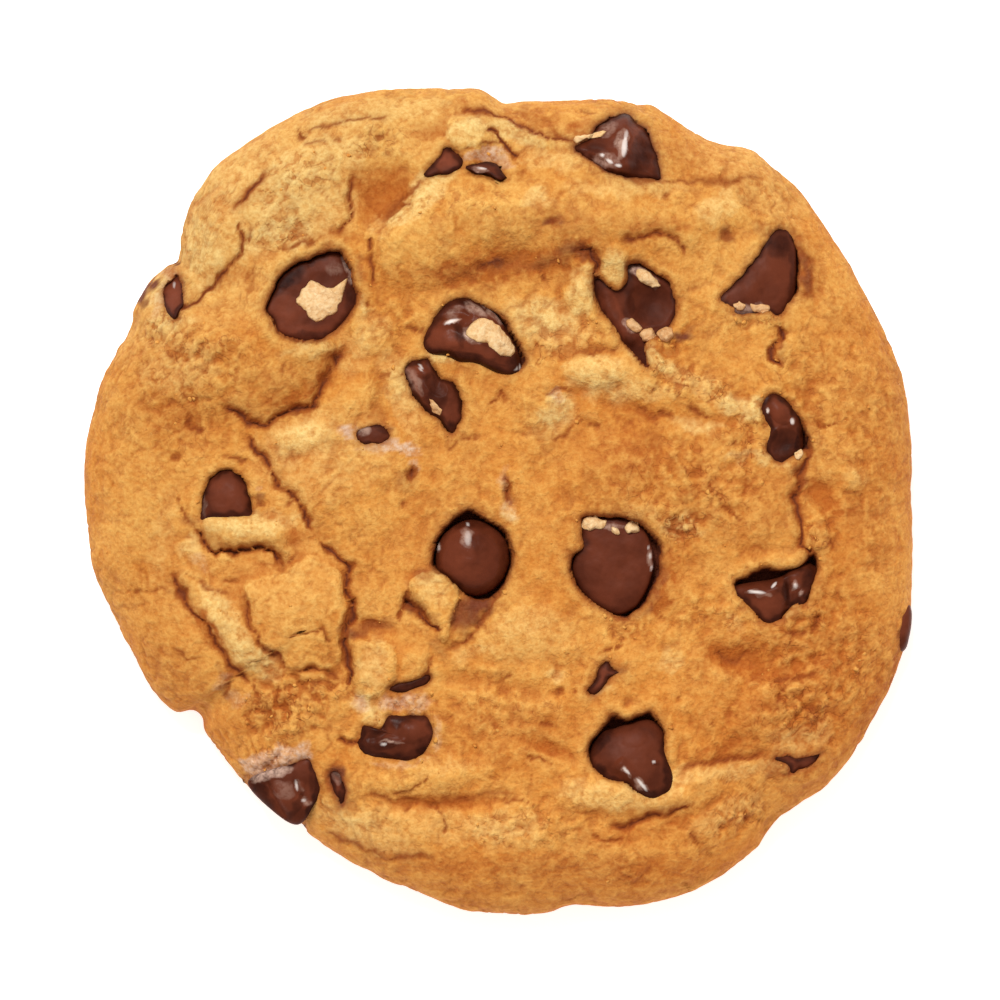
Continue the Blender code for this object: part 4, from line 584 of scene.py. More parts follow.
def makeDough(material):
    n = dough["cells"]
    bm = bmesh.new()
    bmesh.ops.create_grid(bm, x_segments=n, y_segments=n, size=1.0)
    edge = [e for e in bm.edges if e.is_boundary]
    source = []  # vertex of the top's edge that each side vertex hangs from
    upper = {v: v.index for v in bm.verts if v.is_boundary}
    for ring in range(dough["sideRings"] + dough["baseRings"]):
        lower = bmesh.ops.extrude_edge_only(bm, edges=edge)["geom"]
        edge = [g for g in lower if isinstance(g, bmesh.types.BMEdge)]
        below = {}
        for vert in (g for g in lower if isinstance(g, bmesh.types.BMVert)):
            old = next(o for e in vert.link_edges for o in e.verts if o in upper)
            below[vert] = upper[old]
        bm.verts.index_update()
        source.append((np.array([v.index for v in below]), np.array(list(below.values()))))
        upper = below
    bmesh.ops.contextual_create(bm, geom=edge)
    mesh = bpy.data.meshes.new("cookieDough")
    bm.to_mesh(mesh)
    bm.free()

    grid = meshPoints(mesh)[: (n + 1) ** 2]
    dx, dy = grid[:, 0] * np.sqrt(1 - grid[:, 1] ** 2 / 2), grid[:, 1] * np.sqrt(1 - grid[:, 0] ** 2 / 2)
    angle = np.arctan2(dy, dx)
    share = np.linspace(0, 1, 400)
    fall = np.diff(shoulder(share)) * (dough["domeHeight"] - dough["waistHeight"])
    walked = np.concatenate([[0], np.cumsum(np.hypot(np.diff(share) * dough["middleReach"], fall))])
    radius = rimRadius(angle) * np.interp(np.hypot(dx, dy), walked / walked[-1], share)
    x, y = radius * np.cos(angle), radius * np.sin(angle)

    # vertices close to an opening's outline move onto it, so that its edge is crisp
    cell = 2 * dough["middleReach"] / n
    snapToLines(x, y, cell * 0.42)
    gaps = {}
    for name, loop in windowLoops.items():
        low, high = loop.min(0) - 3.5, loop.max(0) + 3.5
        near = np.where((x > low[0]) & (x < high[0]) & (y > low[1]) & (y < high[1]))[0]
        gap, nearX, nearY = loopGap(x[near], y[near], loop)
        snap = np.abs(gap) < cell * 0.52
        x[near[snap]], y[near[snap]] = nearX[snap], nearY[snap]
        gap[snap] = 0.0
        gaps[name] = (near, gap)

    z, dark = crustHeight(x, y)
    share = np.hypot(x, y) / rimRadius(np.arctan2(y, x))
    points = meshPoints(mesh)
    points[: len(x)] = np.stack([x, y, z], 1)
    edgeXY = points[:, :2].copy()
    for ring, (verts, sources) in enumerate(source):
        xy = edgeXY[sources]
        reach = np.hypot(*xy.T)[:, None]
        if ring < dough["sideRings"]:
            turn = math.pi / 2 * (ring + 1) / dough["sideRings"]
            inward = dough["footTuck"] * (1 - math.cos(turn))
            height = dough["waistHeight"] * (1 - math.sin(turn))
            xy = xy * (1 - inward / reach)
        else:
            step = (ring + 1 - dough["sideRings"]) / (dough["baseRings"] + 0.4)
            xy = xy * (1 - dough["footTuck"] / reach) * (1 - step)
            height = 0.0
        points[verts] = np.column_stack([xy, np.full(len(verts), height)])
    mesh.vertices.foreach_set("co", (points * mm).astype(np.float32).ravel())
    mesh.update()
    normals = vertexNormals(mesh)
    print("dough: base form")

    # lumps, crumbs and fine cracks of the crust, along its normals
    crumb = np.zeros(len(points))
    crumb[: len(x)] = np.clip(spotSum(x, y, crumbSpots), 0, 1)
    foot = smooth(points[:, 2] / 1.2)
    # smoother towards the rim, rougher where it is crumbly
    reach = np.hypot(points[:, 0], points[:, 1]) / rimRadius(np.arctan2(points[:, 1], points[:, 0]))
    coarse = (0.64 + 0.8 * crumb) * (1 - 0.35 * smooth((reach - 0.78) / 0.12))
    lift = coarse * sum(height * 2 * noiseOf(points, size, size * 5.7) for height, size in dough["swells"])
    warped = points + 0.5 * np.stack([noiseOf(points, 1.6, k) for k in (11.0, 23.0, 37.0)], 1)
    near1, near2 = cellsOf(warped, 1.25)
    lift += crumb * (0.42 - 0.95 * near1)
    between = crumb * np.exp(-((near2 - near1) / 0.11) ** 2)
    wrinkles = np.zeros(len(points))
    for size, breadth in ((2.3, 0.10), (1.5, 0.13)):
        patchy = smooth(noiseOf(points, 3.1 * size, 50.5) * 2.4 + 0.15 + 0.5 * crumb)
        wrinkles = np.maximum(wrinkles, patchy * np.exp(-(noiseOf(warped, size, 90.0 + size) / breadth) ** 2))
    wrinkles *= foot
    lift -= 0.13 * wrinkles
    inPit = np.zeros(len(points))
    stain = np.zeros(len(points))
    pitDrop = np.zeros(len(points))
    for name, (near, gap) in gaps.items():
        depth, lip, staining, _ = windows[name]
        inside = gap > 0
        pitDrop[near] = np.maximum(pitDrop[near], np.where(inside, depth * smooth(gap / dough["wallWidth"]), 0))
        lift[near] += lip * np.exp(-((gap + 0.8) / 0.7) ** 2) - 0.18 * np.exp(-(gap / 0.3) ** 2)
        inPit[near] = np.maximum(inPit[near], inside * smooth(gap / 0.25 + 0.2))
        stain[near] = np.maximum(stain[near], staining * np.exp(-np.clip(-gap, 0, None) / 0.42))
        lift[near] *= np.where(gap > 0, 0.3, 1)
    held = 1 - smooth((share - 0.97) / 0.02)  # an opening that reaches the rim stops at the side
    pitDrop[: len(x)] *= held
    inPit[: len(x)] *= held
    lift *= foot * (1 - 0.4 * smooth((dough["waistHeight"] - points[:, 2]) / 2))
    points += normals * lift[:, None]
    points[:, 2] -= pitDrop
    points[:, 2] = np.clip(points[:, 2], 0.0, dough["highest"])
    mesh.vertices.foreach_set("co", (points * mm).astype(np.float32).ravel())
    mesh.update()

    # how far each point stands above its surroundings
    z = points[: len(x), 2].reshape(n + 1, n + 1)
    pits = pitDrop[: len(x)].reshape(n + 1, n + 1)
    level = z + pits

    def blurred(field, cells):
        for axis in (0, 1):
            kernel = np.exp(-(np.arange(-3 * cells, 3 * cells + 1) / cells) ** 2 / 2)
            field = np.apply_along_axis(lambda row: np.convolve(np.pad(row, 3 * cells, "edge"), kernel / kernel.sum(), "valid"), axis, field)
        return field

    fine, broad = level - blurred(level, 2), level - blurred(level, 8)
    relief = np.zeros(len(points))
    relief[: len(x)] = np.clip(fine * 2.4 + broad * 0.35, -1, 1).ravel()
    relief[: len(x)] *= 1 - smooth((share - 0.965) / 0.03)  # none at the rim, where the side goes on without it
    masks = {name: np.zeros(len(points)) for name in ("pale", "brown", "deep", "stain", "veil")}
    wx = x + 0.5 * noiseOf(points[: len(x)], 1.4, 61.0) * 2
    wy = y + 0.5 * noiseOf(points[: len(x)], 1.4, 71.0) * 2
    masks["pale"][: len(x)] = spotSum(wx, wy, paleSpots)
    masks["brown"][: len(x)] = spotSum(wx, wy, brownSpots)
    masks["veil"][: len(x)] = spotSum(wx, wy, veilSpots)
    masks["stain"][: len(x)] = spotSum(wx, wy, stainAndShadeSpots)
    # painted shade in creases, cracks, holes, wrinkles and the pits round the chips
    masks["deep"][: len(x)] = dark
    masks["deep"] = np.maximum(masks["deep"], np.maximum(0.22 * wrinkles, 0.42 * between))
    masks["deep"] = np.maximum(masks["deep"], inPit)
    masks["stain"] = np.maximum(masks["stain"], stain)
    masks["brown"] += 0.35 * smooth((5.5 - points[:, 2]) / 4.5) + 0.4 * smooth((2.4 - points[:, 2]) / 2.2)
    masks["relief"] = relief
    masks["crumb"] = crumb
    # painted light: runs from the side away from the key light to the side towards it
    masks["paintedSideLight"] = 0.5 + 0.5 * reach * (0.92 * points[:, 1] - 0.4 * points[:, 0]) / 46
    for name, values in masks.items():
        addFloat(mesh, name, np.clip(values, -1, 1))
    piece = newPiece("cookieDough", mesh, material)
    print("dough:", len(mesh.polygons), "faces, top at", round(float(points[:, 2].max()), 2))
    return piece


# How each chip fills its opening. "outline" is its own edge where that isn't the opening's, "grow" how far it reaches
# under the dough, "sink" how deep its edge lies, "crown" how far its middle rises over the edge, "curve" the shape of
# that rise, "lean" its slope to +X and +Y, "lines" ridges and grooves (rise, width, line), "lumps" bumps and dents
# (middle, half length, half width, turn, rise).
chips = {
    "chip_01": {"grow": -0.12, "shift": (0.14, -0.14), "sink": 1.7, "crown": 0.2, "lean": (-0.05, 0.03), "ring": 0.9},
    "chip_02": {"gloss": 0.5, "sink": 1.2, "crown": 2.3, "outline": [
                    (-8.7, 17.4), (-7.9, 19.8), (-6.9, 21.4), (-5.5, 22.7), (-3.9, 23.0), (-2.4, 22.4), (-0.6, 21.2),
                    (0.6, 19.6), (1.7, 17.8), (2.4, 16), (2.7, 14.4), (1.5, 13.9), (-0.2, 14.3), (-2.2, 15.3),
                    (-4.2, 15.6), (-6.2, 16.2), (-8.0, 16.4)],
                "lines": [(0.5, 0.6, [(-6.6, 19.6), (-5.3, 20.2), (-3.9, 19.8)]), (-0.4, 0.5, [(-6.6, 20.6), (-4.6, 21.2), (-2.8, 20.6)])],
                "lumps": [(-5.8, 18.0, 2.0, 1.4, -20, 0.3), (0.8, 15.8, 1.4, 0.9, -30, -0.4)]},
    "chip_03": {"gloss": 0.15, "grow": 0.25, "sink": 1.2, "crown": 1.7, "lumps": [(-7.0, 13.0, 1.6, 1.0, -50, -0.5), (-8.6, 14.6, 1.2, 0.7, -40, 0.3)]},
    "chip_04": {"gloss": 0.6, "grow": 0.25, "sink": 1.1, "crown": 1.1, "lean": (0.0, 0.02),
                "lines": [(1.2, 1.5, [(13.9, 36.6), (14.2, 39.0), (14.6, 41.6), (14.8, 44.0)]), (0.3, 0.5, [(11.4, 39.6), (13.0, 38.2), (15.4, 37.6)])],
                "lumps": [(12.6, 42.0, 1.2, 1.0, 0, 0.3), (11.4, 39.2, 1.4, 0.8, -20, 0.3)]},
    "chip_05": {"grow": 0.0, "sink": 1.9, "crown": 0.5, "outline": [
                    (10.6, 26.0), (12.4, 27.0), (15.0, 27.4), (18.4, 26.2), (20.4, 24.2), (20.6, 21.0), (19.4, 18.4), (17.6, 16.2),
                    (17.4, 14.2), (16.0, 15.0), (13.6, 17.2), (11.8, 19.8), (10.7, 23.0)],
                "lines": [(0.6, 1.0, [(12.2, 24.0), (12.6, 21.6), (14.0, 19.4), (15.4, 17.6)])],
                "lumps": [(17.2, 22.2, 2.6, 2.6, 0, -0.9), (16.6, 25.4, 1.8, 1.0, -20, 0.5)]},
    "chip_06": {"grow": 0.2, "sink": 1.0, "crown": 0.7, "curve": 1.0, "outline": [
                    (30.6, 30.2), (32.6, 30.6), (33.5, 28.8), (33.6, 26.8), (33.5, 24.2), (33.1, 22.5), (32.2, 20.4),
                    (29.5, 20.4), (27, 20.4), (24.9, 22.3), (26, 24), (28, 26.2), (29.5, 28.2)]},
    "chip_07": {"gloss": 0.4, "grow": 0.0, "sink": 1.1, "crown": 0.9, "outline": [
                    (30.2, 12.3), (32, 12.2), (33.3, 11.1), (34.1, 9.4), (34.5, 7.6), (34.4, 5.6), (33, 4.0), (31.4, 3.6),
                    (29.9, 5.4), (30.4, 8), (29.5, 9.6), (29.5, 11)],
                "lumps": [(31.9, 10.2, 1.9, 1.3, -60, 0.7), (32.2, 6.6, 1.6, 1.6, 0, -0.3), (33.3, 8.8, 0.8, 0.6, 60, 0.3)]},
    "chip_08": {"gloss": 0.7, "sink": 2.4, "crown": 3.5, "grow": 0.0, "outline": [
                    (-7.1, -6.2), (-6.6, -4.4), (-5.3, -3.0), (-3.6, -2.2), (-1.7, -2.4), (0.0, -3.4), (1.1, -5.0), (1.3, -6.8),
                    (0.8, -8.6), (-0.4, -10.1), (-2.2, -10.9), (-4.2, -10.7), (-5.9, -9.7), (-6.9, -8.2)],
                "lumps": [(-3.6, -3.0, 0.9, 0.5, 10, 0.25)]},
    "chip_09": {"grow": 0.4, "sink": 1.2, "crown": 0.25, "curve": 1.0, "ring": 0.9, "outline": [
                    (10.0, -2.4), (12.5, -2.5), (14.8, -2.6), (16.2, -3.6), (17.0, -5.4), (17.2, -7.2), (16.9, -8.8),
                    (16.3, -10.3), (15.3, -11.8), (13.6, -12.6), (12.0, -12.0), (10.4, -10.8), (9.2, -9.1), (8.8, -7.4),
                    (9.3, -6.0), (9.7, -4.4)]},
    "chip_10": {"gloss": 0.5, "grow": 0.1, "sink": 1.5, "crown": 1.7, "outline": [
                    (26.6, -9.8), (28.2, -9.4), (30, -9.2), (31.2, -9.0), (32.2, -8.6), (33.4, -7.8), (35.2, -7.2), (36.2, -8.4),
                    (35.6, -11), (34.9, -12.3), (33, -12.7), (31.8, -14.3), (30.2, -14.5), (28.8, -13.2), (27.3, -11.8), (26.3, -10.6)],
                "lines": [(-0.5, 0.45, [(32.6, -8.6), (33.0, -10.2), (32.8, -12.4)]), (0.35, 0.5, [(27.8, -10.2), (29.4, -10.6), (31.0, -10.2), (32.0, -9.6)])],
                "lumps": [(33.7, -9.7, 0.6, 0.5, 0, 0.4), (34.7, -10.6, 0.6, 0.5, 0, 0.4)]},
    "chip_11": {"grow": 0.45, "sink": 1.5, "crown": 1.9, "outline": [
                    (13.4, -26.2), (14.8, -25.7), (16.6, -25.2), (18, -25.8), (18.7, -27), (18.9, -28.5), (19.3, -30),
                    (19.7, -31.8), (19, -33.4), (17.5, -34), (15.8, -33.5), (14.2, -32.5), (12.6, -31.8), (11.2, -30.8),
                    (10.8, -29.2), (11.2, -27.6), (12.2, -26.4)],
                "lines": [(0.7, 0.8, [(13.4, -29.4), (15.2, -31.2), (17.2, -33.6)]), (-0.4, 0.9, [(12.0, -30.2), (13.6, -31.6), (15.4, -33.0)])],
                "lumps": [(17.9, -29.6, 0.5, 0.4, 0, 0.3), (15.2, -26.8, 1.8, 1.2, 0, 0.2)]},
    "chip_12": {"grow": 0.1, "sink": 1.3, "crown": 1.6, "lean": (0.0, 0.16), "outline": [
                    (-33.6, -3.2), (-33.4, 0.4), (-32.7, 2.1), (-31.5, 3.2), (-30.2, 3.3), (-29.0, 2.5), (-28.2, 1.1), (-27.7, -1),
                    (-27.6, -3.2)]},
    "chip_13": {"gloss": 0.4, "grow": 0.0, "sink": 1.2, "crown": 1.5, "outline": [
                    (-16.0, -28.0), (-15.6, -25.2), (-13.6, -25.8), (-12.6, -24.0), (-10, -24.1), (-8.0, -24.2), (-6.9, -25.5),
                    (-7.1, -27.2), (-8.2, -29), (-9.8, -29.9), (-12, -29.5), (-14.5, -29.2)],
                "lines": [(-0.4, 0.5, [(-15.0, -26.9), (-13.2, -26.6), (-12.0, -25.4)]), (0.3, 0.4, [(-13.2, -27.6), (-10.2, -27.2)])],
                "lumps": [(-9.6, -26.2, 1.8, 1.4, 0, 0.35)]},
    "chip_14": {"grow": 0.0, "sink": 0.0, "crown": 0.6, "curve": 1.0, "ring": 0.3, "flat": 8.2, "lean": (0.10, 0.26), "outline": [
                    (-28.3, -31.8), (-27.2, -31.0), (-25.4, -30.4), (-23.4, -29.8), (-21.4, -29.2), (-20.3, -30.2), (-20.0, -31.8),
                    (-20.2, -33.4), (-21.1, -35), (-21.8, -36.2), (-22.7, -36.8), (-23.8, -36.5), (-25.2, -35.5), (-26.9, -34.0),
                    (-28.0, -32.8)],
                "lines": [(-0.5, 0.35, [(-26.6, -31.0), (-26.0, -32.4), (-25.0, -34.2), (-24.0, -36.0)]),
                          (-0.4, 0.3, [(-23.0, -31.6), (-22.4, -33.2), (-21.6, -34.4)])],
                "lumps": [(-24.4, -33.6, 2.2, 1.4, -50, 0.3), (-22.3, -32.6, 0.6, 0.8, 0, 0.3)]},
    "chip_15": {"grow": 0.1, "sink": 0.9, "crown": 0.3},
    "chip_16": {"grow": 0.15, "sink": 0.7, "crown": 0.5, "ring": 0.4},
    "chip_17": {"grow": 0.0, "sink": 0.7, "crown": 0.5, "ring": 0.4, "lumps": [(-1.8, 37.4, 0.8, 0.3, 0, 0.3)]},
    "chip_18": {"grow": 0.3, "sink": 0.3, "crown": 0.4, "ring": 0.3},
    "chip_19": {"grow": 0.1, "sink": 0.6, "crown": 0.3, "ring": 0.3},
    "chip_20": {"grow": 0.0, "sink": 0.6, "crown": 0.3},
    "chip_21": {"grow": 0.1, "sink": 0.5, "crown": 0.2, "lumps": [(34.5, -29.2, 1.5, 0.4, 0, 0.1)]},
    "chip_22": {"grow": 0.0, "sink": 0.0, "crown": 1.2, "flat": 3.6, "outline": [
                    (44.5, -11.4), (46.4, -11.5), (46.95, -12.5), (46.95, -14.0), (46.7, -15.5), (46.2, -17.0), (44.8, -17.4),
                    (43.8, -14.5)]},
    "chip_23": {"grow": 0.0, "sink": 0.9, "crown": 0.3},
}

milkSpots = [
    (-24.2, 20.8, 2.6, 2.6, 0, 0.8), (-20.5, 19.0, 3.0, 1.0, 0, 0.5), (-6.4, 18.4, 2.2, 1.6, -20, 0.8), (-3.0, 16.9, 3.4, 0.9, -22, 0.7), (-9.0, 13.6, 1.4, 2.2, 30, 1.0), (-5.2, 9.4, 1.4, 2.2, 20, 0.6), (13.0, 21.0, 1.3, 3.2, 20, 0.8),
    (31.4, 25.4, 1.8, 3.4, -10, 0.3), (31.8, 10.0, 1.4, 1.4, 0, 0.8), (-4.6, -6.2, 2.2, 2.4, 0, 0.6), (-3.0, -8.6, 2.4, 1.2, 0, 0.5), (13.4, -7.4, 3.8, 3.8, 0, 0.35), (30.2, -11.8, 2.6, 1.6, 0, 0.8), (16.0, -28.6, 2.4, 3.0, 20, 0.5),
    (-30.6, 0.4, 2.2, 2.2, 0, 0.6), (-8.6, -26.2, 1.4, 2.0, 0, 0.6), (-24.2, -33.6, 2.0, 2.0, 0, 0.6), (12.0, -20.2, 1.4, 2.0, 0, 0.8), (34.0, -29.6, 2.6, 1.0, 0, 0.7), (-6.0, 38.4, 1.6, 1.2, 0, 1.0), (-36.8, 23.4, 0.9, 1.8, 0, 0.9), (-18.2, -31.4, 1.2, 1.6, 0, 0.6), (16.2, 40.4, 1.2, 3.0, 0, 0.5),
    (-22.0, -33.4, 1.2, 1.6, 0, 0.6), (33.6, -9.6, 1.0, 1.0, 0, 0.5), (45.8, -13.6, 1.2, 2.0, 0, 0.6), (32.4, -29.2, 1.6, 0.8, 0, 0.5),
]
# greyish pink film on the chips: sugar bloom in places, and painted sheen and highlights on their lit slopes
bloomAndSheenSpots = [
    (-9.4, 13.4, 0.7, 1.8, 28, 0.3),
    (-25.8, -30.9, 2.6, 0.8, 14, 0.8), (-3.2, 19.0, 0.8, 0.7, 0, 0.9), (-4.0, 41.0, 0.5, 0.5, 0, 0.2),
    (-16.9, 26.0, 0.35, 1.8, 16, 0.5), (-18.6, 26.2, 1.2, 0.8, 0, 0.2), (-2.4, 21.5, 1.7, 0.6, -28, 0.5), (-5.0, 21.2, 1.2, 0.4, 34, 0.25), (-5.2, 20.25, 1.1, 0.28, 12, 0.9), (-2.8, 18.2, 1.4, 0.6, -30, 0.6), (-0.2, 21.0, 1.4, 0.7, -46, 0.6),
    (14.0, 40.2, 0.8, 1.8, -4, 0.5), (12.4, 38.4, 1.7, 0.9, -24, 0.45), (12.4, 42.0, 1.4, 0.8, 40, 0.25), (15.6, 25.9, 1.1, 0.7, -10, 0.8), (17.4, 24.7, 1.1, 0.6, -50, 0.8), (14.9, 19.6, 1.0, 0.7, -50, 0.7), (33.2, 8.9, 0.35, 0.6, 10, 0.9), (30.5, 10.0, 0.25, 0.4, 0, 0.8),
    (-3.5, -4.2, 0.7, 1.2, 0, 0.35), (-6.8, -5.2, 0.3, 0.7, 0, 0.7), (17.2, -6.8, 0.3, 1.4, 8, 0.4), (12.8, -3.0, 1.6, 0.4, -8, 0.6), (29.4, -10.5, 1.6, 0.3, -6, 0.4), (33.6, -9.7, 0.45, 0.5, 0, 0.5), (34.4, -10.6, 0.3, 0.5, 0, 0.6),
    (14.5, -30.6, 0.8, 0.35, -45, 0.5), (16.2, -32.1, 1.2, 0.4, -48, 0.5),  (-12.2, -27.3, 1.5, 0.2, 0, 0.5), (-22.6, -32.2, 0.4, 0.8, 20, 0.3), (-21.8, -34.2, 0.6, 0.4, 0, 0.4), (-24.2, -32.8, 1.2, 1.2, 0, 0.2),
    (-2.0, 37.4, 1.0, 0.35, -6, 0.6), (-15.0, 7.8, 0.9, 0.6, 0, 0.5),  (-33.2, -0.6, 0.25, 1.6, 0, 0.15), (28.6, 21.6, 2.0, 0.6, 4, 0.4), (-18.0, -31.4, 0.8, 1.0, 0, 0.3),
]

# small white highlights painted into the chips' colour
glintSpots = [
    (14.3, 39.9, 0.34, 1.2, -6, 0.65), (14.5, 41.3, 0.25, 0.6, -10, 0.4), (12.6, 38.3, 0.5, 0.2, -30, 0.8), (13.6, 37.8, 0.4, 0.2, -10, 0.8),
    (11.8, 39.0, 0.25, 0.2, 0, 0.8), (-5.3, 20.15, 0.85, 0.22, 22, 0.8), (-3.4, -4.3, 0.42, 0.9, 0, 0.35), (-3.4, -2.75, 0.22, 0.2, 0, 0.6),
    (-6.75, -5.3, 0.16, 0.5, 10, 0.6), (29.2, -10.4, 1.1, 0.2, -6, 0.75), (31.2, -9.6, 0.5, 0.18, 48, 0.7), (33.6, -9.7, 0.25, 0.35, 20, 0.6),
    (14.5, -30.6, 0.6, 0.18, -45, 0.75), (16.3, -32.2, 1.0, 0.2, -50, 0.75), (17.6, -29.6, 0.22, 0.2, 0, 0.6), (-12.9, -27.6, 0.4, 0.2, 0, 0.6),
    (-22.8, -32.3, 0.18, 0.7, 10, 0.6), (-22.0, -34.0, 0.3, 0.2, 0, 0.5), (33.25, 8.9, 0.25, 0.4, 10, 0.7), (30.5, 10.1, 0.18, 0.3, 0, 0.6),
    (-8.7, 15.0, 0.18, 0.55, 10, 0.6), (2.4, 14.9, 0.4, 0.14, 30, 0.7), (17.2, -6.3, 0.22, 0.3, 0, 0.6), (17.4, -7.7, 0.2, 0.25, 0, 0.6),
    (17.0, -5.4, 0.15, 0.2, 0, 0.5), (-1.8, 37.5, 0.6, 0.14, -8, 0.5), (-36.7, 24.4, 0.2, 0.4, 0, 0.4),
]

# painted shade on the chips: dark crescents and faces where the dough shades them
chipShadeSpots = [
    (-10.0, -20.9, 2.6, 0.7, 14, 0.8), (12.4, 21.5, 1.0, 3.2, 20, 0.45), (15.4, 16.8, 0.9, 2.2, 35, 0.7),
    (-13.6, -26.4, 1.4, 0.7, 10, 0.6), (-9.2, -28.7, 1.8, 0.6, 10, 0.6), (-27.0, -32.2, 0.7, 1.8, -40, 0.4), (-20.8, -32.2, 0.6, 2.6, 0, 0.4), (-24.6, 25.2, 1.6, 1.4, 0, 0.8),
    (-23.6, 25.4, 4.6, 1.2, 42, 1.0), (-20.0, 27.8, 2.6, 0.8, 16, 0.9), (-16.6, 22.4, 0.8, 3.4, 0, 0.7),
    (-20.6, 18.4, 4.0, 0.6, -4, 0.7), (-4.4, 22.4, 2.4, 0.5, 0, 0.9), (-7.0, 20.4, 1.8, 0.5, 52, 0.8),
    (-4.4, 18.8, 0.7, 1.7, 16, 0.7), (2.0, 15.4, 1.2, 1.3, 0, 1.0), (-2.4, 16.0, 3.6, 0.5, -14, 0.8),
    (-7.4, 12.4, 1.4, 2.6, 34, 0.8), (-5.2, 8.3, 0.8, 1.0, 0, 0.9), (16.4, 39.4, 1.5, 3.4, -18, 0.9),
    (10.4, 39.8, 1.8, 0.6, 8, 0.6), (17.4, 22.0, 2.4, 2.6, 0, 0.45), (14.8, 22.6, 0.6, 2.6, 0, 0.6),
    (31.8, 28.8, 1.4, 1.6, 0, 0.9), (33.3, 25.4, 0.5, 3.2, 0, 0.6), (32.4, 6.4, 1.8, 1.8, 0, 0.9),
    (34.3, 7.4, 0.6, 2.4, -10, 0.9), (-3.4, -2.7, 2.8, 0.6, 0, 0.6), (35.2, -8.2, 0.9, 1.8, -10, 0.9),
    (32.6, -10.2, 0.45, 2.0, 4, 0.9), (11.6, -27.0, 3.0, 0.9, 54, 1.0), (11.6, -30.4, 1.6, 0.6, -36, 0.9),
    (18.9, -28.4, 0.5, 3.0, 0, 0.7), (-14.0, -27.7, 2.6, 0.9, 4, 0.8), (-8.2, -27.8, 1.2, 1.2, 0, 0.8),
    (-11.6, -25.2, 0.6, 1.0, 0, 0.8), (-26.8, -33.2, 0.8, 2.6, 38, 0.7), (-23.0, -34.9, 0.5, 1.8, -30, 0.6),
    (-13.0, 8.0, 0.8, 0.6, 0, 0.8), (-19.0, -31.6, 0.6, 1.8, 0, 0.8), (-17.8, -34.0, 0.7, 1.2, 10, 0.9),
    (0.4, 36.9, 1.4, 0.5, -30, 0.8), (13.6, -19.3, 0.9, 0.5, 0, 0.8), (31.6, -29.0, 1.2, 0.6, 0, 0.7),
]


# slope and height of the crust round a place
def crustPlane(x, y, reach=3.5):
    px, py = np.array([x, x + reach, x - reach, x, x]), np.array([y, y, y, y + reach, y - reach])
    z = crustHeight(px, py)[0]
    return float(z.mean()), float(z[1] - z[2]) / (2 * reach), float(z[3] - z[4]) / (2 * reach)


# how far the loop reaches from its middle in each direction
def loopReach(loop, cx, cy, angles):
    d = np.stack([np.cos(angles), np.sin(angles)], 1)
    reach = np.zeros(len(angles))
    for (ax, ay), (bx, by) in zip(loop - (cx, cy), np.roll(loop, -1, 0) - (cx, cy)):
        ex, ey = bx - ax, by - ay
        cross = d[:, 0] * ey - d[:, 1] * ex
        safe = np.where(np.abs(cross) < 1e-9, 1e-9, cross)
        along, share = (ax * ey - ay * ex) / safe, (ax * d[:, 1] - ay * d[:, 0]) / safe
        reach = np.where((share >= -1e-6) & (share <= 1 + 1e-6) & (along > 0), np.maximum(reach, along), reach)
    return reach


# a rounded lump that fills a loop: ring and turn of each point, and where it lies seen from above
def loopLump(name, loop, grow, around, rings):
    bm = bmesh.new()
    bmesh.ops.create_uvsphere(bm, u_segments=around, v_segments=rings, radius=1.0)
    mesh = bpy.data.meshes.new(name)
    bm.to_mesh(mesh)
    bm.free()
    p = meshPoints(mesh)
    polar = np.arccos(np.clip(p[:, 2], -1, 1)) / (math.pi / 2)
    share = np.where(polar <= 1, polar, 2 - polar)
    turn = np.arctan2(p[:, 1], p[:, 0])
    cx, cy = loop.mean(0)
    reach = (loopReach(loop, cx, cy, turn) + grow) * share
    return mesh, polar > 1.0001, share, cx + reach * np.cos(turn), cy + reach * np.sin(turn), (cx, cy)


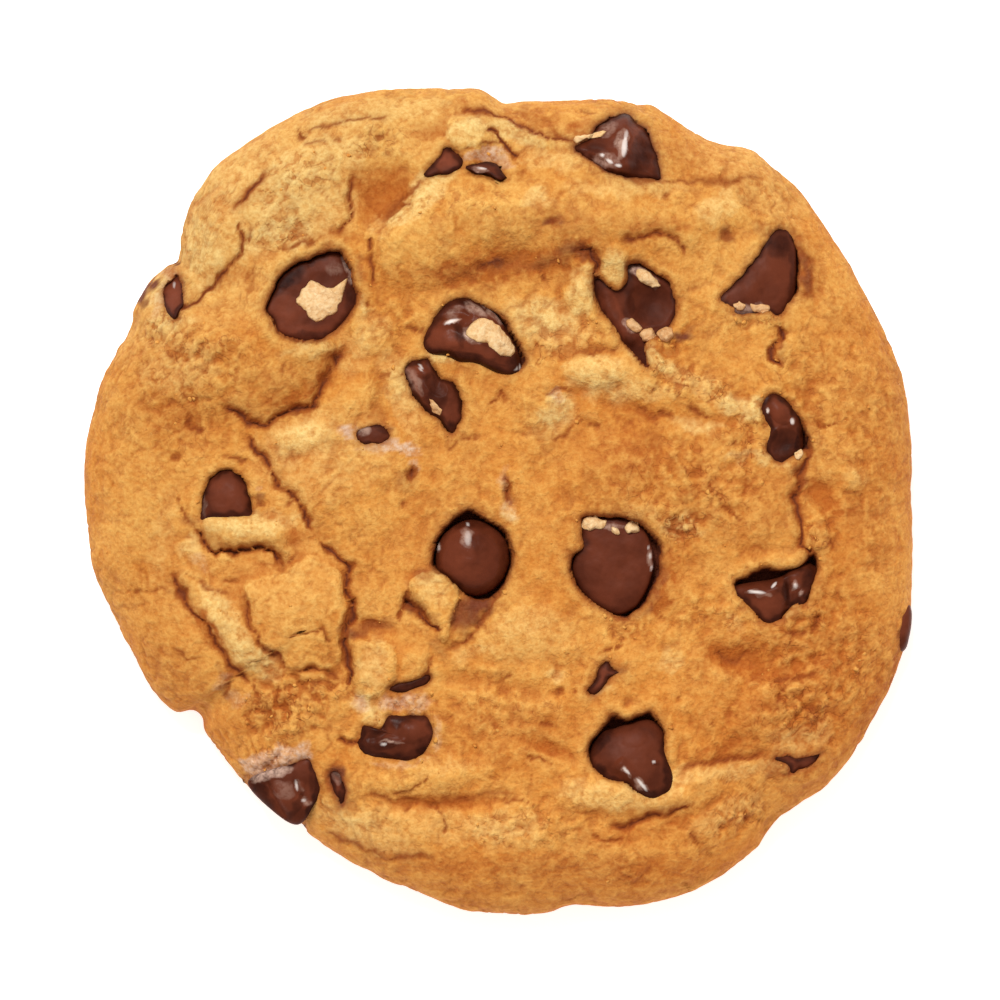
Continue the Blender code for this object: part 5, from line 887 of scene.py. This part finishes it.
def makeChip(node, material):
    c = chips[node]
    loop = (closedCurve(c["outline"]) if "outline" in c else windowLoops[node]) + c.get("shift", (0.0, 0.0))
    large = len(loop) and np.ptp(loop, 0).max() > 5.5
    mesh, under, share, x, y, (cx, cy) = loopLump(node, loop, c.get("grow", 0.15), 96 if large else 56, 64 if large else 40)
    level, slopeX, slopeY = crustPlane(cx, cy)
    if "flat" in c:  # lies in the side of the dough, at this height
        level, slopeX, slopeY = c["flat"], 0.0, 0.0
    leanX, leanY = c.get("lean", (0.0, 0.0))
    z = level - c["sink"] + (slopeX + leanX) * (x - cx) + (slopeY + leanY) * (y - cy)
    top = c["crown"] * (1 - share**2) ** c.get("curve", 0.5) + 0.45 * (1 - share**8) ** 0.5
    for rise, width, line in c.get("lines", []):
        gap, along, whole, _, _ = lineGap(x, y, openCurve(line))
        top += rise * np.exp(-(gap / width) ** 2) * smooth(np.minimum(along, whole - along) / 0.8 + 0.3) * (1 - share**6)
    for lump in c.get("lumps", []):
        top += lump[5] * spot(x, y, *lump[:5]) * (1 - share**6)
    depth = min(4.5, float(z.min()) - 1.0)
    z = z + np.where(under, -depth * (1 - share**2) ** 0.5, top)
    p = np.stack([x, y, z], 1)
    seed = 10.0 * int(node[-2:])
    melt = 0.16 * noiseOf(p, 2.6, seed) + 0.08 * noiseOf(p, 1.1, seed + 5) + 0.02 * noiseOf(p, 0.5, seed + 9)
    p[:, 2] = capped(p[:, 2] + melt * np.where(under, 0, 1), dough["highestBit"], 0.4)
    mesh.vertices.foreach_set("co", (p * mm).astype(np.float32).ravel())
    mesh.update()
    wx, wy = x + 0.45 * noiseOf(p, 1.0, 4.0), y + 0.45 * noiseOf(p, 1.0, 14.0)
    gap = loopGap(wx, wy, windowLoops[node])[0] if node in windowLoops else 9 + 0 * x
    edge = 0.85 * (1 - smooth((gap - 0.1) / c.get("ring", 0.55)))  # dark where the dough shades it
    addFloat(mesh, "gloss", np.full(len(x), c.get("gloss", 0.0)))
    addFloat(mesh, "glint", np.clip(spotSum(x, y, glintSpots), 0, 1))
    addFloat(mesh, "milk", np.clip(spotSum(wx, wy, milkSpots), 0, 1))
    addFloat(mesh, "bloomAndSheen", np.clip(spotSum(wx, wy, bloomAndSheenSpots), 0, 1))
    addFloat(mesh, "dark", np.clip(np.maximum(edge, spotSum(wx, wy, chipShadeSpots)), 0, 1))
    return newPiece(node.replace("chip_", "chocolateChip"), mesh, material)


# bits of dough lying on the chips: outline and thickness
doughBits = [
    (0.55, [(-22.9, 22.5), (-21.9, 24.0), (-21.0, 24.8), (-19.8, 24.3), (-18.6, 24.0), (-17.0, 25.3), (-17.3, 23.8),
           (-17.8, 22.5), (-18.3, 21.2), (-19.0, 20.8), (-20.5, 20.1), (-21.5, 20.9), (-22.2, 21.8)]),
    (0.4, [(-3.6, 18.8), (-2.9, 20.0), (-1.8, 20.6), (-0.5, 20.2), (0.5, 19.2), (1.5, 18.0), (2.1, 17.0), (1.4, 16.2),
           (0.0, 16.5), (-1.0, 17.5), (-2.4, 17.9)]),
    (0.3, [(-7.8, 11.4), (-7.1, 11.2), (-6.5, 10.4), (-6.3, 9.7), (-6.9, 9.6), (-7.5, 10.3)]),
    (0.4, [(8.5, 40.9), (9.1, 41.2), (10.2, 41.35), (11.9, 41.8), (12.0, 41.4), (10.6, 40.95), (9.6, 40.7), (8.8, 40.3)]),
    (0.4, [(15.7, 25.9), (16.6, 26.1), (17.5, 25.4), (18.3, 24.5), (17.7, 24.0), (16.8, 24.3), (15.9, 24.9)]),
    (0.7, [(14.5, 20.4), (15.2, 20.5), (15.9, 20.0), (16.3, 19.3), (15.9, 18.9), (15.1, 19.2), (14.5, 19.8)]),
    (0.9, [(16.2, 19.0), (16.8, 19.5), (17.6, 19.3), (17.9, 18.6), (17.4, 17.9), (16.6, 17.9), (16.1, 18.4)]),
    (0.9, [(18.1, 19.1), (18.8, 19.5), (19.6, 19.3), (19.9, 18.5), (19.3, 17.9), (18.5, 18.0), (18.0, 18.5)]),
    (0.5, [(9.8, -1.9), (11.2, -1.9), (12.3, -2.5), (12.0, -3.1), (10.9, -3.4), (9.8, -3.4), (9.4, -2.8)]),
    (0.7, [(14.4, -2.8), (15.1, -2.3), (15.8, -2.7), (16.0, -3.4), (15.2, -3.8), (14.5, -3.5)]),
    (0.4, [(12.8, -3.2), (13.5, -3.1), (13.7, -3.7), (13.1, -3.9)]),
    (0.35, [(26.6, 22.2), (27.3, 22.4), (28.0, 22.0), (27.7, 21.5), (27.0, 21.5)]),
    (0.35, [(28.6, 22.2), (29.4, 22.1), (30.4, 22.1), (30.8, 21.6), (30.0, 21.2), (28.8, 21.4)]),
    (0.6, [(33.4, 5.2), (34.2, 5.7), (34.6, 5.2), (33.9, 4.6)]),
]


def makeDoughBit(number, material, ground):
    thick, outline = doughBits[number]
    loop = closedCurve(outline)
    mesh, under, share, x, y, _ = loopLump("doughBit", loop, 0.0, 48, 30)
    p = np.stack([x, y, np.zeros(len(x))], 1)
    x += 0.25 * share * noiseOf(p, 0.6, 21.0)
    y += 0.25 * share * noiseOf(p, 0.6, 27.0)
    z = np.array([groundHeight(ground, px, py) for px, py in zip(x, y)])
    if np.ptp(loop, 0).max() < 3:  # a small one doesn't bend over an edge
        z = np.clip(z, np.median(z) - 0.4, np.median(z) + 0.4)
    rough = 0.5 * noiseOf(p, 1.3, 3.3) + 0.2 * noiseOf(p, 0.6, 8.1)
    rounded = (1 - share**2) ** 0.5
    z += np.where(under, -0.5 * rounded, thick * rounded * (1 + rough) * 0.8 + 0.05)
    z = capped(z, dough["highestBit"], 0.4)
    mesh.vertices.foreach_set("co", (np.stack([x, y, z], 1) * mm).astype(np.float32).ravel())
    mesh.update()
    addFloat(mesh, "relief", 0.3 + 0.6 * rough - 0.5 * share**6)
    addFloat(mesh, "crumb", np.zeros(len(x)))
    addFloat(mesh, "paintedSideLight", np.full(len(x), 0.5))
    return newPiece("doughBit%02d" % (number + 1), mesh, material)


def groundHeight(ground, x, y):
    hit = ground.ray_cast(Vector((x * mm, y * mm, 0.03)), Vector((0, 0, -1)))[0]
    return hit.z / mm if hit else 0.0


# small crumbs on the dough, in its crumbly places and round the openings
crumbs = {"tries": 9000, "smallest": 0.14, "largest": 0.40, "seed": 11}


def makeCrumbs(material, ground):
    c = crumbs
    dice = np.random.RandomState(c["seed"])
    x, y = dice.uniform(-46, 46, (2, c["tries"]))
    openings = [loopGap(x, y, loop)[0] for loop in windowLoops.values()]
    gap = np.max(openings, 0)
    chance = 0.008 + 0.08 * np.clip(spotSum(x, y, crumbSpots), 0, 1) + 0.12 * np.exp(-((gap + 0.5) / 0.35) ** 2)
    onTop = np.hypot(x, y) < 0.97 * rimRadius(np.arctan2(y, x))
    keep = np.where((dice.uniform(0, 1, len(x)) < chance) & (gap < -0.2) & onTop)[0]
    bm = bmesh.new()
    for k in keep:
        size = c["smallest"] + (c["largest"] - c["smallest"]) * dice.uniform() ** 2.5
        z = groundHeight(ground, x[k], y[k])
        verts = bmesh.ops.create_icosphere(bm, subdivisions=1, radius=size)["verts"]
        turn = Matrix.Rotation(dice.uniform(0, 6.3), 3, Vector(dice.normal(size=3)))
        squeeze = dice.uniform(0.5, 1.3, (len(verts), 1)) * dice.uniform(0.7, 1.3, 3) * (1, 1, 0.6)
        place = Vector((x[k], y[k], min(z, dough["highest"] - size)))
        for vert, squash in zip(verts, squeeze):
            vert.co = turn @ Vector(np.array(vert.co) * squash) + place
    bmesh.ops.scale(bm, vec=(mm, mm, mm), verts=bm.verts)
    mesh = bpy.data.meshes.new("looseCrumbs")
    bm.to_mesh(mesh)
    bm.free()
    addFloat(mesh, "relief", np.full(len(mesh.vertices), 0.2))
    addFloat(mesh, "paintedSideLight", np.full(len(mesh.vertices), 0.5))
    print("crumbs:", len(keep))
    return newPiece("looseCrumbs", mesh, material)


# the group's values change over the surface: broad mottling, small speckle, fine grain, and hair cracks where two
# nets of thin lines run
def makeGrainGroup():
    group = bpy.data.node_groups.new("crustGrain", "ShaderNodeTree")
    for name, start in (("Mottle Size", 140.0), ("Speckle Size", 760.0), ("Grain Size", 2000.0), ("Crack Size", 640.0)):
        group.interface.new_socket(name, in_out="INPUT", socket_type="NodeSocketFloat").default_value = start
    group.interface.new_socket("Position", in_out="INPUT", socket_type="NodeSocketVector")
    for name in ("Mottle", "Speckle", "Grain", "Cracks"):
        group.interface.new_socket(name, in_out="OUTPUT", socket_type="NodeSocketFloat")
    nodes, links = group.nodes, group.links
    start, end = nodes.new("NodeGroupInput"), nodes.new("NodeGroupOutput")
    start.location, end.location = (-700, 0), (900, 0)

    def joined(kind, place, values=(), **settings):
        node = nodes.new(kind)
        node.location = place
        for name, value in settings.items():
            setattr(node, name, value)
        for key, value in values:
            if isinstance(value, (int, float)):
                node.inputs[key].default_value = value
            else:
                links.new(value, node.inputs[key])
        return node.outputs[0]

    place = start.outputs["Position"]
    noises = {}
    for k, (name, detail, rough) in enumerate((("Mottle", 3.0, 0.6), ("Speckle", 2.0, 0.6), ("Grain", 3.0, 0.65))):
        noises[name] = joined("ShaderNodeTexNoise", (-400, 400 - 220 * k), (
            ("Vector", place), ("Scale", start.outputs[name + " Size"]), ("Detail", detail), ("Roughness", rough)))
        links.new(noises[name], end.inputs[name])
    size = start.outputs["Crack Size"]
    nets = []
    for k, (share, width) in enumerate(((1.0, 0.026), (0.55, 0.018))):
        scale = joined("ShaderNodeMath", (-400, -300 - 220 * k), ((0, size), (1, share)), operation="MULTIPLY")
        fac = joined("ShaderNodeTexNoise", (-200, -300 - 220 * k), (
            ("Vector", place), ("Scale", scale), ("Detail", 1.5), ("Roughness", 0.5), ("Distortion", 0.6)))
        off = joined("ShaderNodeMath", (0, -300 - 220 * k), ((0, fac), (1, 0.5)), operation="SUBTRACT")
        gap = joined("ShaderNodeMath", (150, -300 - 220 * k), ((0, off),), operation="ABSOLUTE")
        nets.append(joined("ShaderNodeMapRange", (300, -300 - 220 * k), (
            ("Value", gap), ("From Min", 0.0), ("From Max", width), ("To Min", 1.0), ("To Max", 0.0))))
    both = joined("ShaderNodeMath", (450, -300), ((0, nets[0]), (1, nets[1])), operation="MAXIMUM")
    broken = joined("ShaderNodeMapRange", (450, -100), (
        ("Value", noises["Speckle"]), ("From Min", 0.56), ("From Max", 0.44), ("To Min", 0.0), ("To Max", 1.0)))
    cracks = joined("ShaderNodeMath", (650, -200), ((0, both), (1, broken)), operation="MULTIPLY")
    links.new(cracks, end.inputs["Cracks"])
    return group


grainGroup = makeGrainGroup()


class Finish:
    def __init__(self, name):
        self.material = bpy.data.materials.new(name)
        self.material.use_nodes = True
        self.nodes, self.links = self.material.node_tree.nodes, self.material.node_tree.links
        self.shader = self.nodes["Principled BSDF"]
        self.place = self.nodes.new("ShaderNodeTexCoord").outputs["Object"]

    def add(self, kind, **values):
        node = self.nodes.new(kind)
        for name, value in values.items():
            setattr(node, name, value)
        return node

    def attribute(self, name):
        return self.add("ShaderNodeAttribute", attribute_name=name).outputs["Fac"]

    def math(self, operation, first, second=None, third=None, clamp=False):
        node = self.add("ShaderNodeMath", operation=operation, use_clamp=clamp)
        for socket, value in zip(node.inputs, (first, second, third)):
            if isinstance(value, (int, float)):
                socket.default_value = value
            elif value is not None:
                self.links.new(value, socket)
        return node.outputs[0]

    # value from one range to another, held inside it
    def spread(self, value, low, high, toLow=0.0, toHigh=1.0):
        node = self.add("ShaderNodeMapRange")
        self.links.new(value, node.inputs["Value"])
        for name, number in (("From Min", low), ("From Max", high), ("To Min", toLow), ("To Max", toHigh)):
            node.inputs[name].default_value = number
        return node.outputs["Result"]

    def blend(self, share, first, second):
        node = self.add("ShaderNodeMix", data_type="RGBA")
        factor, low, high = node.inputs[0], node.inputs[6], node.inputs[7]
        for socket, value in ((factor, share), (low, first), (high, second)):
            if isinstance(value, tuple):
                socket.default_value = (*value, 1.0)
            else:
                self.links.new(value, socket)
        return node.outputs[2]

    def bump(self, height, distance, strength=1.0):
        node = self.add("ShaderNodeBump")
        node.inputs["Distance"].default_value = distance
        node.inputs["Strength"].default_value = strength
        self.links.new(height, node.inputs["Height"])
        self.links.new(node.outputs["Normal"], self.shader.inputs["Normal"])

    def grain(self):
        node = self.add("ShaderNodeGroup", node_tree=grainGroup)
        self.links.new(self.place, node.inputs["Position"])
        return node


bakedDough = {
    "gold": (0.62, 0.238, 0.042), "light": (0.76, 0.405, 0.105), "pale": (0.82, 0.57, 0.22),
    "toastedAndShaded": (0.44, 0.125, 0.018), "crease": (0.25, 0.055, 0.009), "gap": (0.110, 0.024, 0.010),
    "chocolateFilmAndShade": (0.17, 0.045, 0.020), "veil": (0.68, 0.44, 0.30), "hollow": (0.89, 0.77, 0.64), "tip": (1.07, 1.14, 1.20), "shadedSideLift": (1.16, 1.07, 1.01), "litSideDim": (0.89, 0.91, 0.93),
    "roughness": 0.80, "bumpDepth": 0.00022,
}
# bits of dough that lie on the chips are paler
paleCrumb = {"gold": (0.72, 0.46, 0.22), "light": (0.82, 0.58, 0.33), "pale": (0.86, 0.64, 0.38), "toastedAndShaded": (0.58, 0.30, 0.11)}
# the smallest are tanned by the chocolate
tanCrumb = {"gold": (0.58, 0.31, 0.13), "light": (0.72, 0.45, 0.24), "pale": (0.80, 0.55, 0.34), "toastedAndShaded": (0.38, 0.16, 0.06)}
tannedBits = (2, 5, 6, 7, 11, 12)


def makeDoughFinish(name, changes=None):
    b = dict(bakedDough, **(changes or {}))
    f = Finish(name)
    grain = f.grain()
    mottle, speckle, fine, hairs = (grain.outputs[k] for k in ("Mottle", "Speckle", "Grain", "Cracks"))
    relief, crumb = f.attribute("relief"), f.attribute("crumb")
    half = tuple(0.5 * g + 0.5 * l for g, l in zip(b["gold"], b["light"]))
    colour = f.blend(f.spread(mottle, 0.38, 0.62), b["gold"], half)
    # painted light on raised places, which follows the relief
    colour = f.blend(f.math("MULTIPLY", f.spread(relief, 0.02, 0.5), 0.7), colour, b["light"])
    flecks = f.math("MULTIPLY", f.spread(speckle, 0.50, 0.62), f.math("MULTIPLY_ADD", crumb, 0.4, 0.22))
    colour = f.blend(flecks, colour, b["light"])
    pale = f.math("MULTIPLY", f.attribute("pale"), f.spread(speckle, 0.36, 0.56, 0.5, 1.1), clamp=True)
    colour = f.blend(f.math("MULTIPLY", pale, 0.8), colour, b["pale"])
    # browner where marked, and painted shade in low places, which follows the relief
    brown = f.math("ADD", f.math("MULTIPLY", f.attribute("brown"), f.spread(speckle, 0.38, 0.62, 1.3, 0.5)),
                   f.math("MULTIPLY", f.spread(relief, -0.03, -0.5), 0.65), clamp=True)
    colour = f.blend(brown, colour, b["toastedAndShaded"])
    marks = f.math("MULTIPLY", f.spread(speckle, 0.43, 0.36), f.math("MULTIPLY_ADD", crumb, 0.6, 0.24))
    colour = f.blend(marks, colour, b["toastedAndShaded"])
    # the hair cracks are darkened as painted shade in them
    hairs = f.math("MULTIPLY", hairs, f.math("MULTIPLY_ADD", crumb, 0.8, 0.32))
    colour = f.blend(f.math("MULTIPLY", hairs, 0.65), colour, b["crease"])
    veil = f.math("MULTIPLY", f.attribute("veil"), f.spread(f.math("MULTIPLY_ADD", speckle, 1.2, fine), 0.88, 1.2, 0.4, 1.0),
                  clamp=True)
    colour = f.blend(veil, colour, b["veil"])
    # chocolate smears, and painted shade under the broad mound
    colour = f.blend(f.attribute("stain"), colour, b["chocolateFilmAndShade"])
    # painted shade: creases, cracks and holes darkened, and the pits round the chips near black, with some chocolate
    # there
    deep = f.attribute("deep")
    colour = f.blend(f.spread(deep, 0.0, 0.7), colour, b["crease"])
    colour = f.blend(f.spread(deep, 0.6, 1.0), colour, b["gap"])
    # painted shade in the hollows of the grain, darker and redder, and painted light on its tips
    grainShadeTint = f.blend(f.spread(fine, 0.34, 0.66), b["hollow"], b["tip"])
    grainShaded = f.add("ShaderNodeVectorMath", operation="MULTIPLY")
    f.links.new(colour, grainShaded.inputs[0])
    f.links.new(grainShadeTint, grainShaded.inputs[1])
    # painted light: lighter and redder on the side away from the key light, darker on the side towards it
    sideLit = f.add("ShaderNodeVectorMath", operation="MULTIPLY")
    f.links.new(grainShaded.outputs[0], sideLit.inputs[0])
    f.links.new(f.blend(f.attribute("paintedSideLight"), b["shadedSideLift"], b["litSideDim"]), sideLit.inputs[1])
    f.links.new(sideLit.outputs[0], f.shader.inputs["Base Color"])
    f.links.new(f.spread(speckle, 0.3, 0.7, b["roughness"] - 0.08, b["roughness"] + 0.1), f.shader.inputs["Roughness"])
    f.shader.inputs["Specular IOR Level"].default_value = 0.15
    height = f.math("MULTIPLY_ADD", speckle, 1.6, f.math("MULTIPLY", fine, 0.55))
    f.bump(f.math("MULTIPLY_ADD", hairs, -0.22, height), b["bumpDepth"])
    return f.material


chocolate = {"dark": (0.080, 0.0155, 0.006), "milk": (0.178, 0.039, 0.017), "shadow": (0.022, 0.0035, 0.0015), "bloomAndSheen": (0.58, 0.37, 0.29), "glint": (0.88, 0.78, 0.74),
             "roughness": 0.52, "polish": 0.20}


def makeChocolateFinish():
    c = chocolate
    f = Finish("meltedChocolate")
    grain = f.grain()
    for name, size in (("Mottle Size", 320.0), ("Speckle Size", 900.0), ("Grain Size", 2600.0)):
        grain.inputs[name].default_value = size
    mottle, speckle, fine = (grain.outputs[k] for k in ("Mottle", "Speckle", "Grain"))
    half = tuple(0.55 * d + 0.45 * m for d, m in zip(c["dark"], c["milk"]))
    colour = f.blend(f.spread(mottle, 0.36, 0.64), c["dark"], half)
    colour = f.blend(f.math("MULTIPLY", f.attribute("milk"), f.spread(speckle, 0.3, 0.65, 0.7, 1.1), clamp=True), colour, c["milk"])
    # sugar bloom, with painted sheen and highlights
    bloomAndSheen = f.math("MULTIPLY", f.attribute("bloomAndSheen"), f.spread(f.math("MULTIPLY_ADD", speckle, 1.2, fine), 0.92, 1.28, 0.35, 1.2), clamp=True)
    dark = f.attribute("dark")
    colour = f.blend(f.math("MULTIPLY", dark, f.spread(speckle, 0.34, 0.66, 1.0, 0.7)), colour, c["shadow"])
    colour = f.blend(bloomAndSheen, colour, c["bloomAndSheen"])
    # painted highlights
    glint = f.attribute("glint")
    colour = f.blend(glint, colour, c["glint"])
    f.links.new(colour, f.shader.inputs["Base Color"])
    rough = f.spread(mottle, 0.35, 0.65, c["roughness"] + 0.08, c["roughness"] - 0.05)
    rough = f.math("MULTIPLY_ADD", f.attribute("gloss"), c["polish"] - c["roughness"], rough)
    f.links.new(f.math("MULTIPLY_ADD", bloomAndSheen, 0.2, rough), f.shader.inputs["Roughness"])
    f.shader.inputs["Specular IOR Level"].default_value = 0.08
    f.bump(f.math("MULTIPLY_ADD", speckle, 1.0, f.math("MULTIPLY", fine, 0.35)), 0.00006)
    return f.material


doughFinish = makeDoughFinish("bakedDough")
crumbFinish = makeDoughFinish("paleCrumb", paleCrumb)
tanFinish = makeDoughFinish("tanCrumb", tanCrumb)
chocolateFinish = makeChocolateFinish()

cookieDough = makeDough(doughFinish)
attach(cookieDough, "root")
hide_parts("dough")

chipPieces = []
for node in chips:
    chip = makeChip(node, chocolateFinish)
    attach(chip, "root")
    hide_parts(node)
    chipPieces.append(chip)
print("chips:", len(chips))


# everything made so far as one surface, to lay small pieces on
def surfaceOf(pieces):
    corners, faces = [], []
    for piece in pieces:
        start = len(corners)
        corners += [v.co.copy() for v in piece.data.vertices]
        faces += [[start + k for k in face.vertices] for face in piece.data.polygons]
    return BVHTree.FromPolygons(corners, faces)


ground = surfaceOf(chipPieces + [cookieDough])
for number in range(len(doughBits)):
    bit = makeDoughBit(number, tanFinish if number in tannedBits else crumbFinish, ground)
    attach(bit, "root")
print("dough bits:", len(doughBits))

looseCrumbs = makeCrumbs(doughFinish, ground)
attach(looseCrumbs, "root")


studio = {
    "floorTone": 0.9, "floorGlow": 0.68,
    "keyBearing": -16, "keyHeight": 57, "keyDistance": 1.4, "keySize": 0.36, "keyPower": 17.1, "keyColour": (0.945, 1.0, 0.985),
    "fill": 0.54, "fillColour": (1.0, 0.95, 0.88),
    "viewWidth": 113.25, "viewShift": 0.23, "lens": 600.0, "focusHeight": 8.0,
}


def makeFloor():
    bm = bmesh.new()
    bmesh.ops.create_grid(bm, x_segments=8, y_segments=8, size=4.0)
    bmesh.ops.translate(bm, vec=(0, 0, -0.2 * mm), verts=bm.verts)  # just clear of the flat base
    mesh = bpy.data.meshes.new("floor")
    bm.to_mesh(mesh)
    bm.free()
    material = bpy.data.materials.new("paleFloor")
    material.use_nodes = True
    shader = material.node_tree.nodes["Principled BSDF"]
    shader.inputs["Base Color"].default_value = (*[studio["floorTone"]] * 3, 1)
    shader.inputs["Roughness"].default_value = 0.9
    shader.inputs["Emission Color"].default_value = (1, 1, 1, 1)
    shader.inputs["Emission Strength"].default_value = studio["floorGlow"]
    return newPiece("floor", mesh, material)


def makeLights():
    bearing, height = math.radians(studio["keyBearing"]), math.radians(studio["keyHeight"])
    towards = Vector((math.sin(bearing) * math.cos(height), math.cos(bearing) * math.cos(height), math.sin(height)))
    light = bpy.data.lights.new("keyLight", "AREA")
    light.size = studio["keySize"]
    light.energy = studio["keyPower"]
    light.color = studio["keyColour"]
    key = bpy.data.objects.new("keyLight", light)
    key.location = towards * studio["keyDistance"]
    key.rotation_mode = "QUATERNION"
    key.rotation_quaternion = towards.to_track_quat("Z", "Y")
    key.visible_camera = False
    scene.collection.objects.link(key)
    world = bpy.data.worlds.new("studioFill")
    world.use_nodes = True
    background = world.node_tree.nodes["Background"]
    background.inputs["Color"].default_value = (*studio["fillColour"], 1)
    background.inputs["Strength"].default_value = studio["fill"]
    scene.world = world


def makeCamera():
    data = bpy.data.cameras.new("fromAbove")
    data.sensor_width = 36.0
    data.lens = studio["lens"]
    camera = bpy.data.objects.new("fromAbove", data)
    distance = studio["viewWidth"] * studio["lens"] / data.sensor_width
    camera.location = Vector((studio["viewShift"], 0, studio["focusHeight"] + distance)) * mm
    data.clip_start, data.clip_end = 0.1, 10.0
    scene.collection.objects.link(camera)
    scene.camera = camera


makeFloor()
makeLights()
makeCamera()
scene.view_settings.view_transform = "Standard"
print("studio: done")
